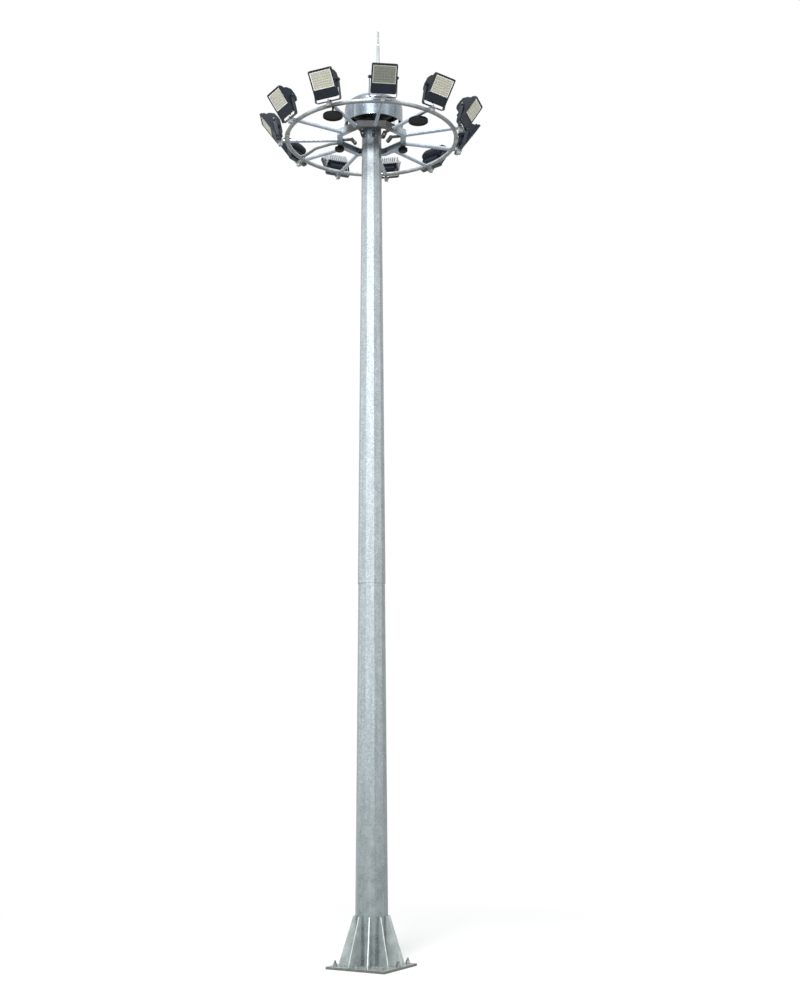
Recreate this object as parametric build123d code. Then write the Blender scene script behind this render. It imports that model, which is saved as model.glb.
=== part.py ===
from build123d import *
import math
import os

# Fits between pieces
SEAT_GAP = 0.3
PIN_GAP = 0.3

# Base flange and its anchor holes
FLANGE_SIDE = 715
FLANGE_T = 25
FLANGE_CORNER_R = 8
CABLE_HOLE_R = 110
ANCHOR_HOLE_R = 14
ANCHOR_CORNER = 283
ANCHOR_SIDE = 320

# Ten-sided tapered shaft in two sleeved sections
SHAFT_SIDES = 10
SHAFT_TURN = -48.8
SHAFT_BASE_DIA = 361
SHAFT_TAPER = 0.015
SHAFT_WALL = 5
LOWER_TOP = 4580
UPPER_BOTTOM = 4100
MAST_TOP = 9600

# Base gussets
GUSSET_T = 12
GUSSET_TOP = 533
GUSSET_TOP_R = 200
GUSSET_TOE_R = 350
GUSSET_TOE_H = 38

# Door at the rear foot of the shaft
DOOR_ANGLE = 113.2
DOOR_BOTTOM = 680
DOOR_TOP = 1230
DOOR_W = 130
DOOR_FRAME_T = 12
DOOR_STANDS_OUT = 18
DOOR_REACHES_IN = 22
DOOR_COVER_T = 5
DOOR_CORNER_R = 30

# Winch inside the foot
WINCH_CHEEK_Y = 82
WINCH_CHEEK_T = 10
WINCH_CHEEK_H = 200
WINCH_Z = 720
DRUM_R = 55
DRUM_FLANGE_R = 78
DRUM_FLANGE_T = 10
DRUM_FLANGE_AT = 58

# Mast head
CAP_R = 150
CAP_BORE_R = 95
CAP_T = 12
SHEAVE_ANGLES = (0, 120, 240)
SHEAVE_R = 110
SHEAVE_RIM = 115
SHEAVE_W = 20
SHEAVE_AT_R = 195
SHEAVE_Z = 9730
SHEAVE_PIN_R = 12
CHEEK_T = 8
CHEEK_GAP = 26
POST_AT_R = 120
POST_R = 15
CARRIER_R = 142
CARRIER_Z = 9850
CARRIER_T = 8
STEM_R = 25

# Canopy over the mast head
CANOPY_R = 345
CANOPY_T = 3
CANOPY_BOTTOM = 9570
CANOPY_SKIRT = 200
CANOPY_RISE = 155
CANOPY_SHOULDER = CANOPY_BOTTOM + CANOPY_SKIRT
CANOPY_TOP = CANOPY_SHOULDER + CANOPY_RISE
CANOPY_SHIFT = 24
CANOPY_SHIFT_ANGLE = 30
CANOPY_REAR = 120
CANOPY_REAR_HALF = 62

# Lightning rod
ROD_AT_R = 77
ROD_ANGLE = 30
ROD_FOOT_R = 48
ROD_FOOT_T = 8
ROD_LOW_R = 24
ROD_LOW_H = 472
ROD_MID_R = 17
ROD_MID_H = 270
ROD_TOP_R = 12
ROD_TIP = 10841

# Hoist ropes
ROPE_R = 4
ROPE_OUT_R = SHEAVE_AT_R + SHEAVE_R
ROPE_IN_R = SHEAVE_AT_R - SHEAVE_R
YOKE_Z = 1500
YOKE_R = 104
YOKE_T = 15

# Lamp ring that is lowered with its inner ring and spokes
STATIONS = 11
STATION_START = -53.3
STATION_STEP = 360 / STATIONS
RING_R = 1000
RING_PIPE_R = 24.15
RING_Z = 9396
INNER_R = 405
INNER_SIDES = 8
INNER_TURN = -37.3
INNER_BOTTOM = 9374
INNER_TOP = 9449
INNER_WEB = 6
INNER_FLANGE = 62
SPOKE_PIPE_R = 21.2
LUG_REACH_R = 284
LUG_W = 64
LUG_T = 10
SOCKET_R = 12
SOCKET_H = 65

# Guide arms and rollers that keep the ring off the shaft
GUIDE_ANGLES = (-88.8, -53.1, -17.8, 18.8, 140.9, 205.2)
GUIDE_PIPE_R = 16.85
GUIDE_Z = (INNER_BOTTOM + INNER_TOP) / 2
ROLLER_AT_R = 198
ROLLER_R = 22
ROLLER_W = 30
ROLLER_DROP = 45
ROLLER_PIN_R = 5
FORK_T = 5

# Lamp stirrups and their seats
PIVOT_OUT = 150
PIVOT_UP = 209
PIVOT_R = RING_R + PIVOT_OUT
PIVOT_Z = RING_Z + PIVOT_UP
LEAN = 15
STIRRUP_IN = 152
STRAP_T = 6
STRAP_W = 40
BAR_DROP = 216
STIRRUP_BEND_R = 18
SEAT_L = 60
SEAT_W = 60
SEAT_T = 8
SEAT_BOLT_R = 7
SEAT_BLOCK_L = 46
SEAT_BLOCK_W = 40
SEAT_BLOCK_DROP = 44

# Pendant lights, and the small drums under the inner ring
PENDANT_R = 112
PENDANT_NECK_R = 40
PENDANT_H = 52
PENDANT_STEM_R = 11
PENDANT_LONG = 85
PENDANT_SHORT = 32
DRUM_LIGHT_R = 56
DRUM_LIGHT_H = 44
DRUM_LIGHT_DROP = 15
DRUM_LIGHT_ANGLES = (52.9, 191.2)

# Lamps
AIM = 37
LAMP_W = 290
LAMP_H = 325
LAMP_FACE = 95
LAMP_BEZEL = 30
LAMP_BODY_W = 262
LAMP_BACK = 60
WINDOW_W = 261
WINDOW_H = 195
WINDOW_U = 45
WINDOW_T = 3
WINDOW_RECESS = 9
PANEL_W = 250
PANEL_H = 86
PANEL_U = -109
FIN_PITCH = 26
FIN_GAP = 15
FIN_COUNT = 9
FIN_DEPTH = 36
DRIVER_W = 200
BOSS_R = 17
BOLT_R = 6
KNOB_R = 18
KNOB_T = 8


def shaft_radius(z):
    """Corner radius of the shaft's lower section, drawn on to any height."""
    return (SHAFT_BASE_DIA - SHAFT_TAPER * (z - FLANGE_T)) / 2


def corner(flat):
    """Distance at a corner that matches a distance across a facet."""
    return flat / math.cos(math.pi / SHAFT_SIDES)


def prism(z0, z1, grow):
    """Solid ten-sided taper between two heights, its facets moved out by grow."""
    low = RegularPolygon(shaft_radius(z0) + corner(grow), SHAFT_SIDES, rotation=SHAFT_TURN)
    high = RegularPolygon(shaft_radius(z1) + corner(grow), SHAFT_SIDES, rotation=SHAFT_TURN)
    return loft([Pos(0, 0, z0) * low, Pos(0, 0, z1) * high], ruled=True)


def at(angle, r=0, z=0):
    """A place at an angle round the mast, r out from its axis and z up."""
    return Rot(0, 0, angle) * Pos(r, 0, z)


def rod(r, length):
    """A cylinder that starts at its place and runs along its Z."""
    return Cylinder(r, length, align=(Align.CENTER, Align.CENTER, Align.MIN))


def spun(points):
    """A profile of radius and height turned round the Z axis."""
    return revolve(Plane.XZ * make_face(Polyline(*points, close=True)), Axis.Z)


def plate(points, t):
    """A profile in the XZ plane thickened evenly to both sides."""
    return extrude(Plane.XZ * make_face(Polyline(*points, close=True)), t / 2, both=True)


def ring_prism(flat, z0, z1):
    """Eight-sided prism in line with the inner ring, by the distance out to its flats."""
    outline = RegularPolygon(flat / math.cos(math.pi / INNER_SIDES), INNER_SIDES, rotation=INNER_TURN)
    return Pos(0, 0, z0) * extrude(outline, z1 - z0)


def ring_pipe(r):
    """The outer ring's pipe with any pipe radius."""
    return Pos(0, 0, RING_Z) * Torus(RING_R, r)


def station(k):
    """Angle of lamp station k round the mast."""
    return STATION_START + STATION_STEP * k


# Base flange with its cable hole and eight anchor holes
def base_flange():
    outline = RectangleRounded(FLANGE_SIDE, FLANGE_SIDE, FLANGE_CORNER_R)
    holes = Circle(CABLE_HOLE_R)
    for i in range(4):
        holes += Rot(0, 0, 90 * i) * Pos(ANCHOR_CORNER, ANCHOR_CORNER) * Circle(ANCHOR_HOLE_R)
        holes += Rot(0, 0, 90 * i) * Pos(ANCHOR_SIDE, 0) * Circle(ANCHOR_HOLE_R)
    return extrude(outline - holes, FLANGE_T)


# Gusset plates welded between the shaft and the flange
def base_gussets():
    profile = [
        (120, FLANGE_T),
        (GUSSET_TOE_R, FLANGE_T),
        (GUSSET_TOE_R, FLANGE_T + GUSSET_TOE_H),
        (GUSSET_TOP_R, GUSSET_TOP),
        (120, GUSSET_TOP),
    ]
    one = plate(profile, GUSSET_T)
    shaft = prism(0, GUSSET_TOP + 50, SEAT_GAP)
    half = 180 / SHAFT_SIDES
    return [at(SHAFT_TURN + half + 2 * half * i) * one - shaft for i in range(SHAFT_SIDES)]


# Door frame through the shaft wall, with its bolted cover
def door_flat():
    return shaft_radius((DOOR_BOTTOM + DOOR_TOP) / 2) * math.cos(math.pi / SHAFT_SIDES)


def door_block(grow, r0, r1):
    outline = RectangleRounded(DOOR_TOP - DOOR_BOTTOM + 2 * grow, DOOR_W + 2 * grow, DOOR_CORNER_R + grow)
    where = at(DOOR_ANGLE, r0, (DOOR_BOTTOM + DOOR_TOP) / 2) * Rot(0, 90, 0)
    return where * extrude(outline, r1 - r0)


def door_frame():
    r0 = door_flat() - DOOR_REACHES_IN
    r1 = door_flat() + DOOR_STANDS_OUT
    return door_block(0, r0, r1) - door_block(-DOOR_FRAME_T, r0 - 5, r1 + 5)


def door_cover():
    r1 = door_flat() + DOOR_STANDS_OUT
    lid = door_block(4, r1, r1 + DOOR_COVER_T)
    lip = door_block(-DOOR_FRAME_T - 1, r1 - 8, r1) - door_block(-DOOR_FRAME_T - 4, r1 - 9, r1)
    lid += lip
    for z in (DOOR_BOTTOM + 60, DOOR_TOP - 60):
        lid += at(DOOR_ANGLE, r1 + DOOR_COVER_T, z) * Rot(0, 90, 0) * rod(11, 5)
    return lid


# Shaft sections, the upper one sleeved over the lower one
def shaft_lower():
    shell = prism(FLANGE_T, LOWER_TOP, 0) - prism(FLANGE_T, LOWER_TOP, -SHAFT_WALL)
    return shell - door_block(SEAT_GAP, 100, 260)


def shaft_upper():
    outside = prism(UPPER_BOTTOM, MAST_TOP, SEAT_GAP + SHAFT_WALL)
    return outside - prism(UPPER_BOTTOM, MAST_TOP, SEAT_GAP)


# Winch carried between the shaft's walls inside the foot, near the door
def winch():
    cheek = Pos(0, 0, WINCH_Z) * Box(SHAFT_BASE_DIA, WINCH_CHEEK_T, WINCH_CHEEK_H)
    frame = Pos(0, WINCH_CHEEK_Y, 0) * cheek + Pos(0, -WINCH_CHEEK_Y, 0) * cheek
    drum_place = Pos(-DRUM_R - ROPE_R - SEAT_GAP, 0, WINCH_Z) * Rot(90, 0, 0)
    frame += drum_place * Cylinder(DRUM_R, 2 * WINCH_CHEEK_Y)
    for side in (-1, 1):
        frame += drum_place * Pos(0, 0, side * DRUM_FLANGE_AT) * Cylinder(DRUM_FLANGE_R, DRUM_FLANGE_T)
    return frame & prism(FLANGE_T, 2 * WINCH_Z, -SHAFT_WALL - SEAT_GAP)


# Cap ring, sheave cheeks, posts and carrier plate at the mast's top
def head_frame():
    cap_top = MAST_TOP + CAP_T
    frame = Pos(0, 0, MAST_TOP) * (rod(CAP_R, CAP_T) - rod(CAP_BORE_R, CAP_T))
    reach = CANOPY_R - CANOPY_T - SEAT_GAP
    profile = [
        (105, cap_top),
        (185, cap_top),
        (reach + 2 * CANOPY_SHIFT, cap_top + 40),
        (reach + 2 * CANOPY_SHIFT, SHEAVE_Z + 25),
        (SHEAVE_AT_R + 35, SHEAVE_Z + 42),
        (SHEAVE_AT_R - 35, SHEAVE_Z + 42),
        (105, SHEAVE_Z - 25),
    ]
    arm = plate(profile, CHEEK_GAP + 2 * CHEEK_T) - plate(profile, CHEEK_GAP)
    pin_length = CHEEK_GAP + 2 * CHEEK_T + 12
    arm += Pos(SHEAVE_AT_R, pin_length / 2, SHEAVE_Z) * Rot(90, 0, 0) * rod(SHEAVE_PIN_R, pin_length)
    for angle in SHEAVE_ANGLES:
        frame += (at(angle) * arm) & canopy_place() * rod(reach, CANOPY_TOP)
        frame += at(angle + 60, POST_AT_R, cap_top) * rod(POST_R, CARRIER_Z - cap_top)
    frame += Pos(0, 0, CARRIER_Z) * rod(CARRIER_R, CARRIER_T)
    stem_z = CARRIER_Z + CARRIER_T
    stem_top = canopy_inside(CANOPY_SHIFT + STEM_R) - SEAT_GAP
    frame += Pos(0, 0, stem_z) * rod(STEM_R, stem_top - stem_z)
    return frame


def rope_pulleys():
    half = SHEAVE_W / 2
    groove = ROPE_R + SEAT_GAP
    bottom = SHEAVE_R - groove
    bore = SHEAVE_PIN_R + PIN_GAP
    with_groove = spun([(bore, -half), (SHEAVE_RIM, -half), (SHEAVE_RIM, half), (bore, half)])
    with_groove -= Torus(SHEAVE_R, groove)
    opening = [(bottom + groove, -groove), (SHEAVE_RIM + 1, -half + 1), (SHEAVE_RIM + 1, half - 1),
               (bottom + groove, groove)]
    with_groove -= spun(opening)
    hollow = spun([(30, half - 5), (bottom - 12, half - 5), (bottom - 12, half + 1), (30, half + 1)])
    with_groove -= hollow + mirror(hollow, Plane.XY)
    return [at(angle, SHEAVE_AT_R, SHEAVE_Z) * Rot(90, 0, 0) * with_groove for angle in SHEAVE_ANGLES]


# Domed canopy, set a little to one side and open at the rear below its shoulder
def canopy_place():
    return at(CANOPY_SHIFT_ANGLE, CANOPY_SHIFT) * Rot(0, 0, -90)


def canopy_inside(r):
    inside = CANOPY_R - CANOPY_T
    rise = CANOPY_RISE - CANOPY_T
    return CANOPY_SHOULDER + rise * math.sqrt(1 - (r / inside) ** 2)


def dome(r, top):
    """Solid drum under an elliptical dome."""
    arc = EllipticalCenterArc((0, CANOPY_SHOULDER), r, top - CANOPY_SHOULDER, 0, arc_size=90)
    low = (0, CANOPY_BOTTOM)
    edges = arc + Polyline((0, top), low, (r, CANOPY_BOTTOM), (r, CANOPY_SHOULDER))
    return revolve(Plane.XZ * make_face(edges), Axis.Z)


def head_canopy():
    shell = dome(CANOPY_R, CANOPY_TOP) - dome(CANOPY_R - CANOPY_T, CANOPY_TOP - CANOPY_T)
    shell = canopy_place() * shell
    far = 2 * CANOPY_R
    half = math.radians(CANOPY_REAR_HALF)
    wedge = make_face(Polyline(
        (0, 0),
        (far * math.cos(half), far * math.sin(half)),
        (far, far * math.sin(half)),
        (far, -far * math.sin(half)),
        (far * math.cos(half), -far * math.sin(half)),
        close=True,
    ))
    shell -= at(CANOPY_REAR, 0, CANOPY_BOTTOM - 1) * extrude(wedge, CANOPY_SHOULDER - CANOPY_BOTTOM - 20)
    shell -= at(ROD_ANGLE, ROD_AT_R, CARRIER_Z) * rod(26, 200)
    return shell


def lightning_rod():
    foot = CARRIER_Z + CARRIER_T
    low = foot + ROD_LOW_H
    mid = low + ROD_MID_H
    profile = [
        (0, foot),
        (ROD_FOOT_R, foot),
        (ROD_FOOT_R, foot + ROD_FOOT_T),
        (ROD_LOW_R, foot + ROD_FOOT_T),
        (ROD_LOW_R, low),
        (ROD_MID_R + 3, low + 20),
        (ROD_MID_R, mid),
        (ROD_TOP_R, mid + 20),
        (ROD_TOP_R, ROD_TIP - 55),
        (1.5, ROD_TIP),
        (0, ROD_TIP),
    ]
    return at(ROD_ANGLE, ROD_AT_R) * spun(profile)


# Ropes from the ring's sockets over the sheaves, then down to the yoke and the drum
def rope_bottom():
    return INNER_TOP + SOCKET_H + SEAT_GAP


def hoist_ropes():
    z0 = rope_bottom()
    path = Polyline((ROPE_OUT_R, z0), (ROPE_OUT_R, SHEAVE_Z))
    path += CenterArc((SHEAVE_AT_R, SHEAVE_Z), SHEAVE_R, 0, 180)
    path += Polyline((ROPE_IN_R, SHEAVE_Z), (ROPE_IN_R, z0))
    one = sweep(Pos(ROPE_OUT_R, 0, z0) * Circle(ROPE_R), path=Plane.XZ * path)
    return [at(angle) * one for angle in SHEAVE_ANGLES]


def inner_hoist_ropes():
    top = rope_bottom()
    ropes = Pos(0, 0, YOKE_Z) * rod(YOKE_R, YOKE_T)
    for angle in SHEAVE_ANGLES:
        ropes += at(angle, ROPE_IN_R, YOKE_Z) * rod(ROPE_R, top - YOKE_Z)
    return ropes + Pos(0, 0, WINCH_Z) * rod(ROPE_R, YOKE_Z - WINCH_Z)


# Outer ring, inner ring and spokes of the lowered carriage
def outer_ring():
    return ring_pipe(RING_PIPE_R)


def inner_ring():
    web = INNER_R - INNER_WEB
    channel = ring_prism(INNER_R, INNER_BOTTOM, INNER_TOP)
    channel -= ring_prism(web, INNER_BOTTOM + INNER_WEB, INNER_TOP - INNER_WEB)
    channel -= ring_prism(INNER_R - INNER_FLANGE, INNER_BOTTOM, INNER_TOP)
    lug = Box(INNER_R - LUG_REACH_R + INNER_FLANGE, LUG_W, LUG_T, align=(Align.MIN, Align.CENTER, Align.MAX))
    inside = ring_prism(web + INNER_WEB / 2, INNER_BOTTOM, INNER_TOP)
    reach = SOCKET_H + LUG_T + 12
    for angle in SHEAVE_ANGLES:
        channel += (at(angle, LUG_REACH_R, INNER_TOP) * lug) & inside
        channel += at(angle, ROPE_OUT_R, INNER_TOP + SOCKET_H - reach) * rod(SOCKET_R, reach)
    return channel


def spokes():
    hub = ring_prism(INNER_R + SEAT_GAP, INNER_BOTTOM - 60, INNER_TOP + 60)
    bar = Pos(INNER_R - 20, 0, RING_Z) * Rot(0, 90, 0) * rod(SPOKE_PIPE_R, RING_R - INNER_R + 20)
    bar -= ring_pipe(RING_PIPE_R + SEAT_GAP)
    return [at(station(k)) * bar - hub for k in range(STATIONS)]


# Guide arms with forks, and the rollers in them
def guide_arms():
    inner_end = ROLLER_AT_R + ROLLER_R + 14
    drop_z = GUIDE_Z - ROLLER_DROP
    hub = ring_prism(INNER_R - INNER_WEB - SEAT_GAP, INNER_BOTTOM - 60, INNER_TOP + 60)
    one = Pos(inner_end, 0, GUIDE_Z) * Rot(0, 90, 0) * rod(GUIDE_PIPE_R, INNER_R + INNER_FLANGE - inner_end)
    side = [
        (inner_end + 12, GUIDE_Z - 14),
        (inner_end + 12, GUIDE_Z + 14),
        (inner_end - 12, GUIDE_Z + 14),
        (ROLLER_AT_R - 12, drop_z + 9),
        (ROLLER_AT_R - 12, drop_z - 12),
        (ROLLER_AT_R + 12, drop_z - 12),
    ]
    gap = ROLLER_W + 2
    fork = plate(side, gap + 2 * FORK_T) - plate(side, gap)
    fork += Pos(inner_end, 0, GUIDE_Z) * Box(8, gap + 2 * FORK_T, 28)
    pin = gap + 2 * FORK_T + 8
    fork += Pos(ROLLER_AT_R, pin / 2, drop_z) * Rot(90, 0, 0) * rod(ROLLER_PIN_R, pin)
    return [(at(angle) * (one + fork)) & hub for angle in GUIDE_ANGLES]


def guide_rollers():
    wheel = rod(ROLLER_R, ROLLER_W) - rod(ROLLER_PIN_R + PIN_GAP, ROLLER_W)
    wheel = chamfer(wheel.edges().filter_by(GeomType.CIRCLE).group_by(SortBy.RADIUS)[-1], 2)
    place = Rot(90, 0, 0) * Pos(0, 0, -ROLLER_W / 2)
    return [at(angle, ROLLER_AT_R, GUIDE_Z - ROLLER_DROP) * place * wheel for angle in GUIDE_ANGLES]


# Stirrups that hold the lamps, and the seats they are bolted to
def stirrup_place(angle):
    return at(angle, PIVOT_R, PIVOT_Z) * Rot(0, LEAN, 0)


def lamp_seats():
    under = -BAR_DROP - STRAP_T / 2 - SEAT_T
    middle = Pos(PIVOT_R, 0, PIVOT_Z) * Rot(0, LEAN, 0) * Pos(0, 0, under)
    low = (Align.CENTER, Align.CENTER, Align.MIN)
    block_r = middle.position.X - SEAT_BOLT_R
    block_z = middle.position.Z - SEAT_BLOCK_DROP
    seat = Pos(block_r, 0, block_z) * Box(SEAT_BLOCK_L, SEAT_BLOCK_W, 2 * SEAT_BLOCK_DROP, align=low)
    seat += Pos(RING_R, 0, RING_Z) * Rot(0, 90, 0) * rod(SPOKE_PIPE_R, block_r - RING_R)
    above = Pos(SEAT_L / 2 - STRAP_T, 0, 0) * Box(2 * SEAT_L, 2 * SEAT_W, 2 * SEAT_BLOCK_DROP, align=low)
    seat -= middle * above
    seat += middle * Box(SEAT_L, SEAT_W, SEAT_T, align=low)
    seat -= middle * Pos(0, 0, -25) * rod(SEAT_BOLT_R, 60)
    seat -= ring_pipe(RING_PIPE_R + SEAT_GAP)
    return [at(station(k)) * seat for k in range(STATIONS)]


def lamp_stirrups():
    mid = STIRRUP_IN + STRAP_T / 2
    high = STRAP_W / 2
    bend = STIRRUP_BEND_R + STRAP_T / 2
    path = FilletPolyline((-mid, high), (-mid, -BAR_DROP), (mid, -BAR_DROP), (mid, high), radius=bend)
    strap = sweep(Pos(0, -mid, high) * Rectangle(STRAP_W, STRAP_T), path=Plane.YZ * path)
    ends = Pos(0, 0, high) * Box(STRAP_W + 2, 400, 2 * STRAP_W)
    ends -= Pos(0, -200, 0) * Rot(-90, 0, 0) * rod(high, 400)
    ends &= Pos(0, 0, STRAP_W) * Box(STRAP_W + 2, 400, 2 * STRAP_W)
    strap -= ends
    strap -= Pos(0, -200, 0) * Rot(-90, 0, 0) * rod(BOLT_R + PIN_GAP, 400)
    strap -= Pos(0, 0, -BAR_DROP - 20) * rod(SEAT_BOLT_R, 40)
    return [stirrup_place(station(k)) * strap for k in range(STATIONS)]


# Pendant lights under the ring and one spoke, and small drums under the inner ring
def pendant(drop):
    low = -drop - PENDANT_H
    profile = [
        (0, -drop),
        (PENDANT_NECK_R, -drop),
        (PENDANT_NECK_R + 32, -drop - 10),
        (PENDANT_R, low + 24),
        (PENDANT_R, low),
        (PENDANT_R - 12, low),
        (PENDANT_R - 16, low + 8),
        (0, low + 8),
    ]
    return spun(profile) + Pos(0, 0, -drop - 4) * rod(PENDANT_STEM_R, drop + 4)


def spoke_fittings():
    spoke = Rot(0, 90, 0) * Pos(0, 0, -RING_R) * rod(SPOKE_PIPE_R + SEAT_GAP, 2 * RING_R)
    placed = []
    for k, r, drop in ((10, RING_R - 15, PENDANT_LONG), (1, 0.84 * RING_R, PENDANT_SHORT)):
        light = Pos(r, 0, RING_Z) * (pendant(drop) - spoke) - ring_pipe(RING_PIPE_R + SEAT_GAP)
        placed.append(at(station(k)) * max(light.solids(), key=lambda s: s.volume))
    body = rod(DRUM_LIGHT_R, DRUM_LIGHT_H)
    body = chamfer(body.edges().group_by(Axis.Z)[0], 12)
    drum = Pos(0, 0, -DRUM_LIGHT_DROP) * rod(PENDANT_STEM_R, DRUM_LIGHT_DROP - SEAT_GAP)
    drum += Pos(0, 0, -DRUM_LIGHT_DROP - DRUM_LIGHT_H) * body
    placed += [at(angle, INNER_R, INNER_BOTTOM) * drum for angle in DRUM_LIGHT_ANGLES]
    return placed


# Feed conduit from the outer ring to the inner ring
def feed_conduit():
    z = GUIDE_Z
    points = []
    middle = (RING_R + INNER_R) / 2
    route = (
        (180.2, RING_R),
        (180.2, RING_R - 70),
        (188.5, middle + 20),
        (193.8, INNER_R + 95),
        (193.8, INNER_R - 15),
    )
    for angle, r in route:
        points.append((r * math.cos(math.radians(angle)), r * math.sin(math.radians(angle)), z))
    path = FilletPolyline(*points, radius=60)
    pipe = sweep(Plane(origin=path @ 0, z_dir=path % 0) * Circle(17), path=path)
    pipe -= ring_pipe(RING_PIPE_R + SEAT_GAP)
    pipe -= ring_prism(INNER_R + SEAT_GAP, INNER_BOTTOM - 60, INNER_TOP + 60)
    return max(pipe.solids(), key=lambda s: s.volume)


# Lamp housings and windows, drawn facing +X and then aimed down
def lamp_place(angle):
    return at(angle, PIVOT_R, PIVOT_Z) * Rot(0, AIM, 0)


def front_plate(w, h, corner_r, u, depth, x):
    outline = RectangleRounded(h, w, corner_r)
    return Pos(x, 0, u) * Rot(0, -90, 0) * extrude(outline, depth)


def lamp_housing():
    bezel = front_plate(LAMP_W, LAMP_H, 14, 0, LAMP_BEZEL, LAMP_FACE)
    rear = LAMP_FACE - LAMP_BEZEL
    top = LAMP_H / 2 - 12
    side = [
        (rear, top),
        (rear - 24, top - 4),
        (rear - 36, top - 30),
        (22 - LAMP_BACK / 2, top - 42),
        (8 - LAMP_BACK, top - 84),
        (-LAMP_BACK, 10),
        (-LAMP_BACK, -42),
        (18 - LAMP_BACK, -76),
        (rear - 40, -84),
        (rear - 30, -top),
        (rear, -top),
    ]
    body = plate(side, LAMP_BODY_W)
    slot = Pos(FIN_DEPTH / 2 - LAMP_BACK - 20, 0, 20) * Box(FIN_DEPTH + 40, FIN_GAP, LAMP_H / 2 + 30)
    middle = (FIN_COUNT - 1) / 2
    for i in range(FIN_COUNT):
        body -= Pos(0, (i - middle) * FIN_PITCH, 0) * slot
    driver = [
        (rear, -80),
        (rear, -top + 2),
        (rear - 50, -top + 6),
        (rear - 72, -top + 20),
        (rear - 72, -80),
    ]
    body += plate(driver, DRIVER_W)
    shell = bezel + body
    window_z = WINDOW_RECESS + 1
    shell -= front_plate(
        WINDOW_W + 2 * SEAT_GAP, WINDOW_H + 2 * SEAT_GAP, 6, WINDOW_U, window_z, LAMP_FACE + 1)
    shell -= front_plate(PANEL_W, PANEL_H, 8, PANEL_U, 3, LAMP_FACE + 1)
    boss_top = STIRRUP_IN - SEAT_GAP
    half = LAMP_BODY_W / 2 - 1
    outside = STIRRUP_IN + STRAP_T + SEAT_GAP
    for turn in (-90, 90):
        shell += Rot(turn, 0, 0) * Pos(0, 0, half) * rod(BOSS_R, boss_top - half)
        shell += Rot(turn, 0, 0) * Pos(0, 0, half) * rod(BOLT_R, outside + KNOB_T - half)
        shell += Rot(turn, 0, 0) * Pos(0, 0, outside) * rod(KNOB_R, KNOB_T)
    return shell


def lamp_window():
    x = LAMP_FACE - WINDOW_RECESS + WINDOW_T
    return front_plate(WINDOW_W, WINDOW_H, 5.7, WINDOW_U, WINDOW_T, x)


def save(name, made):
    solids = made if isinstance(made, list) else [made]
    flat = []
    for piece in solids:
        flat += piece.solids()
    export_step(Compound(children=flat) if len(flat) > 1 else flat[0], f"parts/{name}.step")


def main():
    os.makedirs("parts", exist_ok=True)
    save("base_flange", base_flange())
    save("base_gussets", base_gussets())
    save("shaft_lower", shaft_lower())
    save("shaft_upper", shaft_upper())
    save("door_frame", door_frame())
    save("door_cover", door_cover())
    save("winch", winch())
    save("head_frame", head_frame())
    save("rope_pulleys", rope_pulleys())
    save("head_canopy", head_canopy())
    save("lightning_rod", lightning_rod())
    save("hoist_ropes", hoist_ropes())
    save("inner_hoist_ropes", inner_hoist_ropes())
    save("outer_ring", outer_ring())
    save("inner_ring", inner_ring())
    save("spokes", spokes())
    save("guide_arms", guide_arms())
    save("guide_rollers", guide_rollers())
    save("lamp_seats", lamp_seats())
    save("lamp_stirrups", lamp_stirrups())
    save("spoke_fittings", spoke_fittings())
    save("feed_conduit", feed_conduit())
    housing = lamp_housing()
    window = lamp_window()
    for k in range(STATIONS):
        save(f"lamp_{k + 1:02d}_housing", lamp_place(station(k)) * housing)
        save(f"lamp_{k + 1:02d}_window", lamp_place(station(k)) * window)


main()
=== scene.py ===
import logging
import math
from dataclasses import dataclass, field, replace
from enum import Enum
from typing import Iterable, Protocol

import bmesh
import bpy
from mathutils import Matrix, Vector, noise


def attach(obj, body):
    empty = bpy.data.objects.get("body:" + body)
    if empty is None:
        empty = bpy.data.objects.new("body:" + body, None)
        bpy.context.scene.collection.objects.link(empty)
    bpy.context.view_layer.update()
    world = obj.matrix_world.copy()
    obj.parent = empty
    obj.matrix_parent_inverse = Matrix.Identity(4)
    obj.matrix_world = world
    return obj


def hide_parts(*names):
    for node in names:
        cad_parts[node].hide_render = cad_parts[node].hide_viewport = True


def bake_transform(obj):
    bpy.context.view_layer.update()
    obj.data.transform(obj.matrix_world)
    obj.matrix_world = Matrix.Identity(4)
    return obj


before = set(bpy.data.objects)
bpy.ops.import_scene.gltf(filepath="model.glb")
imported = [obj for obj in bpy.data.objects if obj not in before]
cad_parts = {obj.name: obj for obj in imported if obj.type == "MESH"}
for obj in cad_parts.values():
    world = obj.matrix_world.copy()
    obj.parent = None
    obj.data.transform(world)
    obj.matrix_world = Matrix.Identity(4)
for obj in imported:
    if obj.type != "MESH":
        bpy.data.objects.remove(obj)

LOG = logging.getLogger("floodlight_tower")

Colour = tuple[float, float, float]
Profile = list[tuple[float, float]]
Socket = bpy.types.NodeSocket


class Body(Enum):
    """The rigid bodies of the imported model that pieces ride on."""

    MAST = "mast"
    CARRIAGE = "carriage"


class Slot(Enum):
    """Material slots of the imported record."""

    GALVANISED = "galvanised"
    CANOPY = "canopy_sheet"
    ROPE = "wire_rope"
    HOUSING = "lamp_housing"
    WINDOW = "lamp_window"


def at(angle: float, radius: float = 0.0, height: float = 0.0) -> Matrix:
    """Gives a place round the mast.

    Args:
        angle: Degrees anticlockwise from +X.
        radius: Distance out from the mast's axis in metres.
        height: Height over the flange's underside in metres.

    Returns:
        A matrix whose X axis points outwards and whose Z axis points up.
    """
    return Matrix.Rotation(math.radians(angle), 4, "Z") @ Matrix.Translation((radius, 0.0, height))


def turn(degrees: float, axis: str) -> Matrix:
    """Returns a turn of some degrees about one axis."""
    return Matrix.Rotation(math.radians(degrees), 4, axis)


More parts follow.
